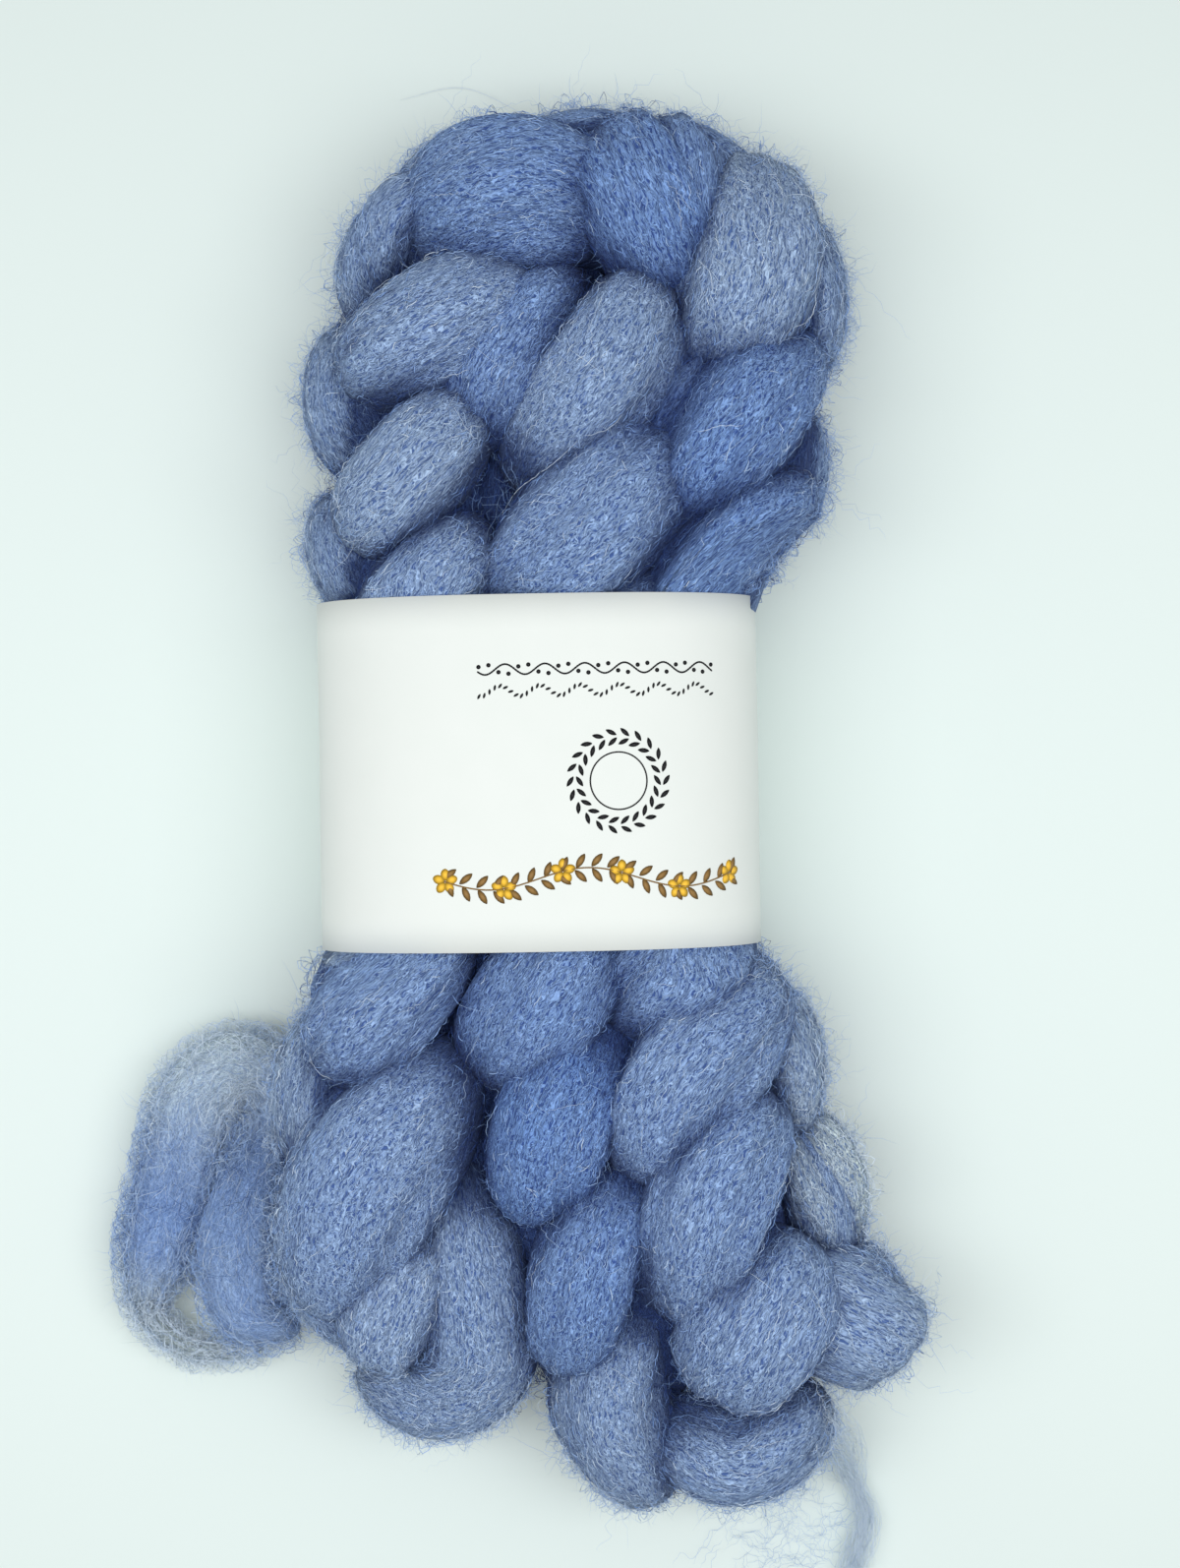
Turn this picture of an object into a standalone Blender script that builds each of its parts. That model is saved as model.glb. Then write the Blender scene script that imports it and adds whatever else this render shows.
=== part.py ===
"""A braid of combed wool roving, folded into three runs and held by a paper band round its middle.

Metres, +Z up, +Y along the braid towards its folded top, the surface it lies on at z = 0.
The roving is a soft chain of thick loops. Each loop shows as one plump lobe that rises from under
the last one and dives under the next, so the hank is built lobe by lobe and fused into one solid.
A curled loose end lies beside it, a thin wisp trails from its foot, and the band goes round it.
The tables give millimetres from the middle of the lying braid; an empty carries all of it to the
origin, which is the middle of the whole hank's footprint.
"""

import math

import bmesh
import bpy
from mathutils import Vector

MM = 0.001

# Driving sizes, in millimetres
FOOTPRINT_MIDDLE = (-16.4, -19.8)
BAND_HEIGHT = 76.0
BAND_WIDTH = 98.0
BAND_DEPTH = 60.0
BAND_WALL = 1.0
BAND_SQUARENESS = 2.6
BAND_SINK = 0.8
BAND_CENTRE = (-11.3, 2.4)
BAND_TURN_DEG = 1.0
BAND_STEPS = 72
FIT_GAP = 0.4
CORE_INSET = 0.6

LOBE_BLUNTNESS = 2.3
SECTION_SQUARENESS = 2.3
UPPER_FINENESS = (10, 8)
LOWER_FINENESS = (8, 6)
TANGENT_STEP = 0.02

UNDER_WIDTH = 32.0
UNDER_DEPTH = 35.0
UNDER_HEIGHT = 17.0
UNDER_REACH = (-12.0, 15.0)

# How far the cutters reach past what they cut
CUT_WIDTH = 180.0
CUT_LENGTH = 450.0
CUT_HEIGHT = 90.0
CUT_BELOW = 20.0

WISP_THICKNESS = 8.0
WISP_POINTS = 26

# The lobes that show from above: name, points along the lobe (x, y, z), width, depth.
# The ones that the band hides all over are left to the core inside it.
UPPER_LOBES = (
    ("arch_left", ((-38, 125, 30), (-17, 130, 42), (4, 130, 33)), 30, 32),
    ("arch_mid", ((1, 148, 24), (11, 130, 42), (20, 108, 33)), 29, 32),
    ("arch_right", ((38, 141, 24), (36, 113, 42), (27, 87, 33)), 30, 33),
    ("right_1", ((20, 60, 34), (35, 78, 43), (56, 102, 28)), 27, 32),
    ("right_2", ((15, 31, 35), (30, 49, 43), (47, 70, 28)), 27, 32),
    ("right_5", ((7, -55, 35), (20, -38, 43), (36, -21, 33)), 28, 32),
    ("right_6", ((10, -88, 33), (22, -63, 44), (41, -42, 32)), 30, 34),
    ("right_7", ((16, -121, 31), (27, -92, 43), (43, -68, 32)), 31, 34),
    ("right_8", ((28, -143, 26), (35, -119, 38), (48, -100, 30)), 32, 34),
    ("right_end", ((47, -109, 26), (61, -119, 29), (73, -129, 23)), 28, 33),
    ("left_fold", ((-31, 131, 28), (-42, 125, 30), (-47, 109, 26)), 17, 28),
    ("left_1", ((-56, 88, 30), (-33, 99, 43), (-8, 112, 34)), 29, 33),
    ("left_2", ((-56, 48, 32), (-39, 65, 44), (-21, 86, 34)), 28, 33),
    ("left_3", ((-55, 22, 34), (-38, 40, 43), (-20, 59, 35)), 27, 32),
    ("left_5", ((-58, -39, 35), (-42, -20, 43), (-27, -2, 35)), 28, 32),
    ("left_6", ((-60, -69, 33), (-44, -49, 43), (-28, -30, 35)), 30, 33),
    ("left_7", ((-68, -121, 25), (-46, -90, 40), (-24, -64, 33)), 36, 35),
    (
        "left_tail",
        ((-30, -87, 28), (-25, -109, 28), (-25, -126, 24), (-35, -135, 20), (-49, -133, 18)),
        25,
        32,
    ),
    ("left_tip", ((-47, -132, 22), (-45, -120, 29), (-38, -101, 27)), 25, 30),
    ("left_between", ((-24, 71, 26), (-18, 92, 36), (-3, 115, 28)), 18, 30),
    ("centre_1", ((-19, 64, 33), (3, 89, 44), (20, 112, 33)), 32, 34),
    ("centre_2", ((-22, 33, 34), (0, 56, 44), (23, 80, 34)), 32, 34),
    ("centre_3", ((-23, 0, 35), (-2, 23, 43), (20, 46, 35)), 31, 33),
    ("centre_4", ((-24, -33, 35), (-6, -10, 43), (12, 11, 35)), 31, 33),
    ("centre_5", ((-27, -67, 34), (-12, -45, 43), (4, -26, 35)), 32, 33),
    ("centre_6", ((-19, -98, 32), (-9, -72, 42), (5, -46, 34)), 28, 33),
    ("centre_7", ((-11, -133, 28), (-3, -106, 38), (8, -81, 32)), 26, 32),
    ("bottom_left", ((11, -111, 28), (4, -137, 28), (15, -162, 20)), 24, 32),
    ("bottom_loop", ((14, -143, 22), (34, -151, 26), (55, -138, 22)), 23, 32),
)

# The lobes that bulge round its sides, in the same columns
RIM_LOBES = (
    ("arch_1", ((-52, 101, 18), (-52, 118, 20), (-41, 135, 20)), 20, 38),
    ("arch_2", ((-46, 128, 20), (-31, 139, 22), (-12, 144, 20)), 22, 38),
    ("arch_3", ((-19, 142, 19), (-1, 144, 22), (17, 142, 19)), 23, 37),
    ("arch_4", ((8, 143, 20), (27, 137, 22), (43, 121, 20)), 23, 38),
    ("right_1", ((42, 135, 19), (47, 108, 20), (43, 86, 18)), 25, 38),
    ("right_2", ((45, 86, 18), (42, 66, 19), (31, 47, 18)), 19, 38),
    ("left_1", ((-53, 106, 18), (-55, 84, 19), (-45, 65, 18)), 23, 38),
    ("left_2", ((-57, 67, 18), (-55, 50, 19), (-43, 31, 18)), 23, 38),
    ("left_3", ((-57, -46, 18), (-61, -69, 20), (-56, -90, 18)), 21, 40),
    ("left_4", ((-65, -94, 17), (-59, -114, 18), (-46, -133, 17)), 24, 38),
    ("right_3", ((31, -37, 18), (41, -60, 20), (41, -81, 18)), 20, 40),
    ("right_4", ((44, -72, 18), (52, -90, 20), (56, -113, 18)), 22, 40),
    ("right_5", ((42, -119, 17), (56, -125, 18), (69, -132, 16)), 26, 36),
)

# The runs' undersides: name, number of lobes, points along the run's middle (x, y)
UNDER_RUNS = (
    ("left", 7, ((-38, 112), (-40, 22), (-45, -48), (-46, -120))),
    ("centre", 7, ((-3, 118), (0, 44), (-9, -34), (-6, -100), (9, -138))),
    ("arch", 4, ((-44, 108), (-22, 130), (12, 130), (36, 108))),
    ("right", 7, ((31, 112), (29, 44), (21, -41), (30, -99), (38, -126))),
)

# What fills each run between the lobes over it and the lobes under it, in the lobes' columns
RUN_CORES = (
    ("left", ((-33, 122, 27), (-38, 22, 27), (-44, -48, 27), (-42, -128, 24)), 38, 32),
    ("centre", ((-6, 128, 27), (-1, 44, 27), (-9, -34, 27), (-3, -105, 25), (10, -144, 22)), 38, 30),
    ("right", ((32, 122, 27), (32, 44, 28), (21, -45, 29), (29, -99, 26), (44, -132, 24)), 36, 34),
    ("left_seam", ((-20, 96, 29), (-23, 0, 30), (-25, -60, 30), (-20, -112, 27)), 16, 24),
    ("right_seam", ((18, 104, 30), (15, 30, 31), (9, -60, 30), (13, -116, 27)), 20, 26),
    ("arch", ((-45, 104, 27), (-24, 129, 28), (12, 130, 27), (39, 102, 26)), 36, 32),
)

# The curled loose end, in the lobes' columns
CURL_LOBES = (
    (
        "hook",
        (
            (-70.4, -69, 12),
            (-83, -67, 12),
            (-96, -80, 11),
            (-101, -101, 11),
            (-98, -118, 11),
            (-87, -126, 11),
            (-72, -125, 11),
        ),
        21,
        24,
    ),
    ("inner", ((-79, -66, 13), (-83, -88, 17), (-85, -106, 17), (-76.5, -125, 13)), 22, 26),
)

# The wisp's way down from the foot and along the surface
WISP_ROUTE = (
    (54, -149.3, 15),
    (56, -154, 9),
    (59, -159, 4.6),
    (63, -166, 4.2),
    (65, -173, 4.2),
    (64, -180, 4.2),
    (61, -187, 4.2),
    (60, -194, 4.2),
)


def clear_scene():
    for obj in list(bpy.data.objects):
        bpy.data.objects.remove(obj)


def material(name, colour, roughness):
    made = bpy.data.materials.new(name)
    made.use_nodes = True
    shader = made.node_tree.nodes["Principled BSDF"]
    shader.inputs["Base Color"].default_value = (*colour, 1.0)
    shader.inputs["Roughness"].default_value = roughness
    shader.inputs["Metallic"].default_value = 0.0
    return made


def footprint_empty():
    """Everything hangs on this empty, which brings the middle of the footprint to the origin."""
    empty = bpy.data.objects.new("hank", None)
    bpy.context.scene.collection.objects.link(empty)
    empty.location = (-FOOTPRINT_MIDDLE[0] * MM, -FOOTPRINT_MIDDLE[1] * MM, 0.0)
    return empty


def new_object(name, data, parent, look=None, collection=None):
    """A piece of the hank, or, where it has no look, a helper that only cuts or joins."""
    obj = bpy.data.objects.new(name, data)
    (collection or bpy.context.scene.collection).objects.link(obj)
    obj.parent = parent
    if look is None:
        obj.hide_render = True
        obj.display_type = "WIRE"
    else:
        data.materials.append(look)
    return obj


def along(points, share):
    """A point at that share of a smooth curve through the points (Catmull-Rom)."""
    place = share * (len(points) - 1)
    index = min(int(place), len(points) - 2)
    local = place - index
    before = points[index - 1] if index else points[0] * 2 - points[1]
    after = points[index + 2] if index + 2 < len(points) else points[-1] * 2 - points[-2]
    here, there = points[index], points[index + 1]
    return 0.5 * (
        here * 2
        + (there - before) * local
        + (before * 2 - here * 5 + there * 4 - after) * local**2
        + (here * 3 - before - there * 3 + after) * local**3
    )


def rounded_square(angle, squareness):
    """A point of a superellipse one unit in half width and half height."""
    power = 2.0 / squareness
    across, up = math.cos(angle), math.sin(angle)
    return math.copysign(abs(across) ** power, across), math.copysign(abs(up) ** power, up)


def lobe_mesh(name, points, width, depth, fineness=UPPER_FINENESS):
    """A bent bean: a sphere's rings are laid along the lobe's curve and given its section."""
    curve = [Vector(point) for point in points]
    mesh = bpy.data.meshes.new(name)
    shape = bmesh.new()
    sides, rings = fineness
    if len(points) > 3:
        rings = max(rings, 2 * len(points) + 2)
    bmesh.ops.create_uvsphere(shape, u_segments=sides, v_segments=rings, radius=1.0)
    for vert in shape.verts:
        share = 0.5 - math.asin(max(-1.0, min(1.0, vert.co.z))) / math.pi
        centre = along(curve, share)
        further, back = min(1.0, share + TANGENT_STEP), max(0.0, share - TANGENT_STEP)
        ahead = along(curve, further) - along(curve, back)
        side = ahead.cross(Vector((0, 0, 1))).normalized()
        up = side.cross(ahead).normalized()
        swell = (1.0 - abs(2.0 * share - 1.0) ** LOBE_BLUNTNESS) ** (1.0 / LOBE_BLUNTNESS)
        across, rise = rounded_square(math.atan2(vert.co.y, vert.co.x), SECTION_SQUARENESS)
        offset = side * (0.5 * width * swell * across) + up * (0.5 * depth * swell * rise)
        vert.co = (centre + offset) * MM
    bmesh.ops.recalc_face_normals(shape, faces=shape.faces)
    shape.to_mesh(mesh)
    shape.free()
    return mesh


def new_group(name):
    group = bpy.data.collections.new(name)
    bpy.context.scene.collection.children.link(group)
    return group


def fill_group(group, layer, rows, parent, fineness=UPPER_FINENESS):
    """Lobes for a group whose members are then fused into one body."""
    for lobe, points, width, depth in rows:
        mesh = lobe_mesh(lobe, points, width, depth, fineness)
        new_object(f"{layer}_{lobe}", mesh, parent, collection=group)


def under_rows():
    """Lobe rows for the underside: even steps along each run, each lobe lying across it."""
    rows = []
    reach = Vector((*UNDER_REACH, 0.0))
    hidden = BAND_HEIGHT / 2 - UNDER_WIDTH / 2
    for run, count, line in UNDER_RUNS:
        middle = [Vector((x, y, UNDER_HEIGHT)) for x, y in line]
        for index in range(count):
            centre = along(middle, (index + 0.5) / count)
            if abs(centre.y - BAND_CENTRE[1]) > hidden:
                points = (centre - reach, centre, centre + reach)
                rows.append((f"{run}_{index + 1}", points, UNDER_WIDTH, UNDER_DEPTH))
    return rows


def band_outline(inset):
    """The band's section as (x, z), drawn in by inset from its outer face and flat underneath."""
    outline = []
    for step in range(BAND_STEPS):
        across, up = rounded_square(2.0 * math.pi * step / BAND_STEPS, BAND_SQUARENESS)
        z = (BAND_DEPTH / 2 - inset) * up + BAND_DEPTH / 2 - BAND_SINK
        outline.append(((BAND_WIDTH / 2 - inset) * across, max(z, inset)))
    return outline


def prism_mesh(name, outline, length):
    """A solid of that outline, its middle on the band's centre and turned as the band is."""
    turn = math.radians(BAND_TURN_DEG)
    mesh = bpy.data.meshes.new(name)
    shape = bmesh.new()
    corners = [shape.verts.new((x, -length / 2, z)) for x, z in outline]
    face = shape.faces.new(corners)
    swept = bmesh.ops.extrude_face_region(shape, geom=[face])["geom"]
    moved = [item for item in swept if isinstance(item, bmesh.types.BMVert)]
    bmesh.ops.translate(shape, verts=moved, vec=(0, length, 0))
    for vert in shape.verts:
        x, y = vert.co.x, vert.co.y
        vert.co.x = (x * math.cos(turn) - y * math.sin(turn) + BAND_CENTRE[0]) * MM
        vert.co.y = (x * math.sin(turn) + y * math.cos(turn) + BAND_CENTRE[1]) * MM
        vert.co.z *= MM
    bmesh.ops.recalc_face_normals(shape, faces=shape.faces)
    shape.to_mesh(mesh)
    shape.free()
    return mesh


def square_outline(half_width, low, high):
    return [(-half_width, low), (half_width, low), (half_width, high), (-half_width, high)]


def boolean(obj, name, operation, other=None, group=None):
    modifier = obj.modifiers.new(name, "BOOLEAN")
    modifier.operation = operation
    modifier.solver = "EXACT"
    if group is None:
        modifier.object = other
    else:
        modifier.operand_type = "COLLECTION"
        modifier.collection = group


def floor_cutter(parent):
    """What would sag below the surface is cut off, which leaves a small flat under each lobe."""
    slab = square_outline(CUT_WIDTH, -CUT_BELOW, 0.0)
    return new_object("floor_cutter", prism_mesh("floor_cutter", slab, CUT_LENGTH), parent)


def band_clearance(parent):
    """A block with the band's inside left out of it: cut away, it squeezes the lobes into the band."""
    length = BAND_HEIGHT + 2 * FIT_GAP
    outside = square_outline(CUT_WIDTH, -CUT_BELOW, CUT_HEIGHT)
    cutter = new_object("band_clearance", prism_mesh("band_clearance", outside, length), parent)
    inside = prism_mesh("band_inside", band_outline(BAND_WALL + FIT_GAP), CUT_LENGTH)
    boolean(cutter, "Band inside", "DIFFERENCE", new_object("band_inside", inside, parent))
    return cutter


def braid(parent, look, floor):
    """The braided roving: all its lobes fused round a core where the band holds it."""
    core = prism_mesh("braid", band_outline(BAND_WALL + FIT_GAP + CORE_INSET), BAND_HEIGHT)
    obj = new_object("braid", core, parent, look)
    lobes = new_group("lobes")
    fill_group(lobes, "over", UPPER_LOBES, parent)
    fill_group(lobes, "rim", RIM_LOBES, parent, LOWER_FINENESS)
    fill_group(lobes, "under", under_rows(), parent, LOWER_FINENESS)
    fill_group(lobes, "core", RUN_CORES, parent, LOWER_FINENESS)
    boolean(obj, "Lobes", "UNION", group=lobes)
    boolean(obj, "Clear of the band", "DIFFERENCE", band_clearance(parent))
    boolean(obj, "Flat on the surface", "DIFFERENCE", floor)


def paper_band(parent, look):
    """A strip of paper closed round the braid, its ends glued underneath."""
    obj = new_object("paper_band", prism_mesh("paper_band", band_outline(0.0), BAND_HEIGHT), parent, look)
    hollow = prism_mesh("band_hollow", band_outline(BAND_WALL), CUT_LENGTH)
    boolean(obj, "Hollow", "DIFFERENCE", new_object("band_hollow", hollow, parent))


def loose_end(parent, look, floor):
    """The roving's own end, curled back on itself beside the braid."""
    hook, *others = CURL_LOBES
    obj = new_object("loose_end", lobe_mesh("loose_end", *hook[1:]), parent, look)
    turns = new_group("turns")
    fill_group(turns, "turn", others, parent)
    boolean(obj, "Inner turn", "UNION", group=turns)
    boolean(obj, "Flat on the surface", "DIFFERENCE", floor)


def wisp(parent, look):
    """A drawn-out lock of fibre that trails from the foot and lies on the surface."""
    route = [Vector(point) for point in WISP_ROUTE]
    curve = bpy.data.curves.new("wisp", "CURVE")
    curve.dimensions = "3D"
    curve.bevel_depth = WISP_THICKNESS / 2 * MM
    curve.bevel_resolution = 2
    curve.use_fill_caps = True
    spline = curve.splines.new("POLY")
    spline.points.add(WISP_POINTS - 1)
    for index, point in enumerate(spline.points):
        point.co = (*(along(route, index / (WISP_POINTS - 1)) * MM), 1.0)
    new_object("wisp", curve, parent, look)


def main():
    clear_scene()
    wool = material("wool", (0.19, 0.25, 0.55), 0.95)
    paper = material("paper", (0.9, 0.9, 0.88), 0.7)
    hank = footprint_empty()
    floor = floor_cutter(hank)
    braid(hank, wool, floor)
    paper_band(hank, paper)
    loose_end(hank, wool, floor)
    wisp(hank, wool)


main()
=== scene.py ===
# %% [markdown]
# # A braid of combed wool in a paper band
# A spinner buys wool as roving: one endless, airy rope of combed fibre. It is worked into a soft
# chain, folded into three runs side by side and held by a strip of paper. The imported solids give
# the places and sizes, and this script lays the real surfaces and fibres over them.

# %% Load the fixed frame
import math

import bpy
import numpy as np
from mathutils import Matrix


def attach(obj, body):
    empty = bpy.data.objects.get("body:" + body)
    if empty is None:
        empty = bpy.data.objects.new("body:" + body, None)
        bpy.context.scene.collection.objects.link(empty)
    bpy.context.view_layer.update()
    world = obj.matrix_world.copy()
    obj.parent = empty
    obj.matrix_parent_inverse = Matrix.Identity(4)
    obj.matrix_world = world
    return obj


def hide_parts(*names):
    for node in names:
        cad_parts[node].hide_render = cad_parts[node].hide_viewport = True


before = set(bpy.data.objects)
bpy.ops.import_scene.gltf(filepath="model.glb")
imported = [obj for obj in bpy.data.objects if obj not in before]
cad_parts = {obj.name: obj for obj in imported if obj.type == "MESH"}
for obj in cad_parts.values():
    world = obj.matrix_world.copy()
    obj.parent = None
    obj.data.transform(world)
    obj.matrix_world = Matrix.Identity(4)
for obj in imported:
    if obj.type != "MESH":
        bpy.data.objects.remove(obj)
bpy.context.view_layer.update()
print("nodes in the frame:", ", ".join(sorted(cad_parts)))

# %% [markdown]
# ## Sizes
# Every length below is in millimetres on the table, measured from the middle of the picture. One
# function moves a table point to the frame's own origin, under the middle of the hank.

# %% Units and the way from the table to the frame
MM = 0.001
FOOTPRINT_MIDDLE = np.array((-16.4, -19.8, 0.0))
FINE = 1


def to_frame(points):
    """A table point less the footprint's middle, times 0.001, is its place in metres."""
    return (np.asarray(points, float) - FOOTPRINT_MIDDLE) * MM


# %% [markdown]
# ## Camera
# The hank is seen from straight above. A pixel is 0.2311 mm at the table, and the lens is 600 mm
# up, so the angle of view follows from the picture's height.

# %% Place the camera
PICTURE_SIZE = (1200, 1594)
CAMERA_HEIGHT = 600.0
TABLE_MM_PER_PIXEL = 0.2311


def place_camera():
    """Half the angle is the arctangent of half the picture's height over the camera's height."""
    data = bpy.data.cameras.new("overhead_camera")
    data.sensor_fit = "VERTICAL"
    half_height = 0.5 * PICTURE_SIZE[1] * TABLE_MM_PER_PIXEL
    data.angle = 2 * math.atan(half_height / CAMERA_HEIGHT)
    data.clip_start, data.clip_end = 0.01, 10.0
    camera = bpy.data.objects.new("overhead_camera", data)
    camera.location = to_frame((0, 0, CAMERA_HEIGHT))
    bpy.context.scene.collection.objects.link(camera)
    bpy.context.scene.camera = camera
    return camera


camera = place_camera()
print(f"camera angle {math.degrees(camera.data.angle):.1f} degrees")

# %% [markdown]
# ## From arrays to a mesh
# All the surfaces here are arrays of points. A mesh takes them fastest through `foreach_set`,
# which fills its vertices, corners and faces without a Python loop.


# %% Mesh helpers
def mesh_from(name, points, faces, maps=None, values=None):
    """Points in table mm and rows of corner numbers become a smooth mesh. maps holds a UV place
    for each point, and values one number for each point."""
    faces = np.asarray(faces, np.int32)
    mesh = bpy.data.meshes.new(name)
    mesh.vertices.add(len(points))
    mesh.vertices.foreach_set("co", to_frame(points).astype(np.float32).ravel())
    mesh.loops.add(faces.size)
    mesh.loops.foreach_set("vertex_index", faces.ravel())
    mesh.polygons.add(len(faces))
    mesh.polygons.foreach_set("loop_start", np.arange(0, faces.size, faces.shape[1], dtype=np.int32))
    for map_name, places in (maps or {}).items():
        corner_places = places if len(places) == faces.size else places[faces.ravel()]
        layer = mesh.uv_layers.new(name=map_name)
        layer.data.foreach_set("uv", corner_places.astype(np.float32).ravel())
    for value_name, numbers in (values or {}).items():
        attribute = mesh.attributes.new(value_name, "FLOAT", "POINT")
        attribute.data.foreach_set("value", numbers.astype(np.float32))
    mesh.update(calc_edges=True)
    mesh.validate()
    mesh.shade_smooth()
    return mesh


def add_piece(mesh, material, body="root"):
    """The mesh becomes an object at the origin that rides on a body of the frame."""
    piece = bpy.data.objects.new(mesh.name, mesh)
    bpy.context.scene.collection.objects.link(piece)
    if not mesh.materials:
        mesh.materials.append(material)
    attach(piece, body)
    return piece


# %% [markdown]
# ## Shader groups
# Combed wool looks the same everywhere at close range: bright crimped threads that lie nearly
# side by side over dark gaps, whose darkness is painted shade between the threads. One group makes
# that pattern from a map that runs along the fibres, and each material mixes its own colours with it.


# %% A small kit for node trees
def add_node(tree, kind, **settings):
    """One node with its settings. A key with spaces written as _ names an input socket."""
    node = tree.nodes.new(kind)
    for key, value in settings.items():
        if hasattr(node, key):
            setattr(node, key, value)
        else:
            node.inputs[key.replace("_", " ")].default_value = value
    return node


def connect(tree, *pairs):
    """Each pair is an output socket and the input socket that it feeds."""
    for source, target in pairs:
        tree.links.new(source, target)


def add_math(tree, operation, first, second=0.0):
    """A Math node of two sockets or numbers. Returns its output."""
    node = tree.nodes.new("ShaderNodeMath")
    node.operation = operation
    for socket, value in zip(node.inputs, (first, second)):
        if isinstance(value, (int, float)):
            socket.default_value = value
        else:
            tree.links.new(value, socket)
    return node.outputs[0]


def new_group(name, inputs, outputs):
    """A shader group whose sockets are given as (name, kind, default)."""
    group = bpy.data.node_groups.new(name, "ShaderNodeTree")
    for socket_name, kind, default in inputs:
        socket = group.interface.new_socket(socket_name, in_out="INPUT", socket_type=kind)
        if default is not None:
            socket.default_value = default
    for socket_name, kind in outputs:
        group.interface.new_socket(socket_name, in_out="OUTPUT", socket_type=kind)
    return group, group.nodes.new("NodeGroupInput"), group.nodes.new("NodeGroupOutput")


# %% The combed fibre pattern
def noise_over(group, along, across, slice_height=0.0, **settings):
    """Noise of a place along and a place across the fibres, at a slice of its own."""
    place = add_node(group, "ShaderNodeCombineXYZ")
    place.inputs[2].default_value = slice_height
    noise = add_node(group, "ShaderNodeTexNoise", **settings)
    connect(
        group,
        (along, place.inputs[0]),
        (across, place.inputs[1]),
        (place.outputs[0], noise.inputs["Vector"]),
    )
    return noise.outputs[0]


def rise_between(group, value, low, high):
    """0 where the value is low, 1 where it is high, and smooth between. low may be the greater."""
    node = add_node(group, "ShaderNodeMapRange", interpolation_type="SMOOTHSTEP", From_Min=low, From_Max=high)
    connect(group, (value, node.inputs["Value"]))
    return node.outputs[0]


def curly_lines(group, along, across, slice_height, line_width):
    """Where smooth noise crosses its middle value there are thin curly lines, like crimped hairs.
    The mask is 1 on such a line and falls to 0 at line_width of noise from it."""
    noise = noise_over(group, along, across, slice_height, Scale=1.0, Detail=1.0)
    away = add_math(group, "ABSOLUTE", add_math(group, "SUBTRACT", noise, 0.5))
    return rise_between(group, away, line_width, 0.2 * line_width)


def combed_fibre_group():
    """The map's x runs along the fibres and its y across them, both in centimetres. Noise that is
    squeezed across and stretched along makes streaks, and two nets of curly lines lie over them.
    A slow noise pushes y to and fro first, which crimps them all. Threads is the greatest of the
    three, and Height the sum of the streaks, of the broad locks that combing leaves and of the
    lines."""
    group, inside, outside = new_group(
        "combed_fibre",
        (
            ("Map", "NodeSocketVector", None),
            ("Thread Width", "NodeSocketFloat", 0.03),
            ("Crimp", "NodeSocketFloat", 0.045),
        ),
        (("Threads", "NodeSocketFloat"), ("Height", "NodeSocketFloat")),
    )

    def times(value, factor):
        """Math in this group: one value times another."""
        return add_math(group, "MULTIPLY", value, factor)

    split = add_node(group, "ShaderNodeSeparateXYZ")
    crimp_noise = add_node(group, "ShaderNodeTexNoise", Scale=4.5, Detail=2.0)
    connect(
        group,
        (inside.outputs["Map"], split.inputs[0]),
        (inside.outputs["Map"], crimp_noise.inputs["Vector"]),
    )
    push = add_math(group, "SUBTRACT", crimp_noise.outputs[0], 0.5)
    push = times(push, times(inside.outputs["Crimp"], 4.0))
    along, across = split.outputs[0], add_math(group, "ADD", split.outputs[1], push)
    over_threads = add_math(group, "DIVIDE", across, inside.outputs["Thread Width"])
    streaks = noise_over(group, times(along, 7.5), over_threads, Scale=0.76, Detail=2.0, Roughness=0.6)
    locks = noise_over(group, times(along, 0.55), times(across, 4.5), Scale=1.0, Detail=2.0, Roughness=0.5)
    crest = rise_between(group, streaks, 0.43, 0.56)
    fine = curly_lines(group, times(along, 9.0), times(across, 17.0), 3.1, 0.055)
    loose = curly_lines(group, times(along, 4.5), times(across, 10.0), 8.6, 0.045)
    lines = add_math(group, "MAXIMUM", times(fine, 0.8), loose)
    threads = add_math(group, "MAXIMUM", times(crest, 0.7), lines)
    height = add_math(group, "ADD", add_math(group, "ADD", streaks, locks), times(lines, 0.35))
    connect(group, (threads, outside.inputs["Threads"]), (height, outside.inputs["Height"]))
    return group


COMBED_FIBRE = combed_fibre_group()
print("group:", COMBED_FIBRE.name)

# %% [markdown]
# ## Wool materials
# The dye took unevenly, so each lobe has its own place between a deep blue and a pale lavender.
# That place is the dye attribute, from 0, deep, to 1, pale. It also carries painted light: it is
# lifted at the outline, and in the loose end it goes well past 1, paler than any dye.

# %% Wool colours and the lobes' material
# Gap colours are painted shade between the threads; the thread colours are the wool's own.
DEEP_GAP_SHADE = (0.036, 0.083, 0.285, 1)
DEEP_THREAD = (0.270, 0.450, 0.840, 1)
PALE_GAP_SHADE = (0.072, 0.137, 0.345, 1)
PALE_THREAD = (0.450, 0.610, 0.860, 1)
# Painted shade: the darkest colour, which wool deep in creases sinks towards.
CREASE_SHADE = (0.015, 0.038, 0.180, 1)
# Painted shade: the tint that multiplies the colour deep in creases.
CREASE_SHADE_TINT = (0.10, 0.15, 0.30, 1)


def mix_colours(tree, share, first, second, blend="MIX"):
    """first where share is 0, second where it is 1. Either is a colour or a socket."""
    node = tree.nodes.new("ShaderNodeMix")
    node.data_type, node.blend_type = "RGBA", blend
    node.clamp_factor = False
    tree.links.new(share, node.inputs["Factor"])
    for socket, value in zip((node.inputs[6], node.inputs[7]), (first, second)):
        if isinstance(value, tuple):
            socket.default_value = value
        else:
            tree.links.new(value, socket)
    return node.outputs[2]


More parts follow.
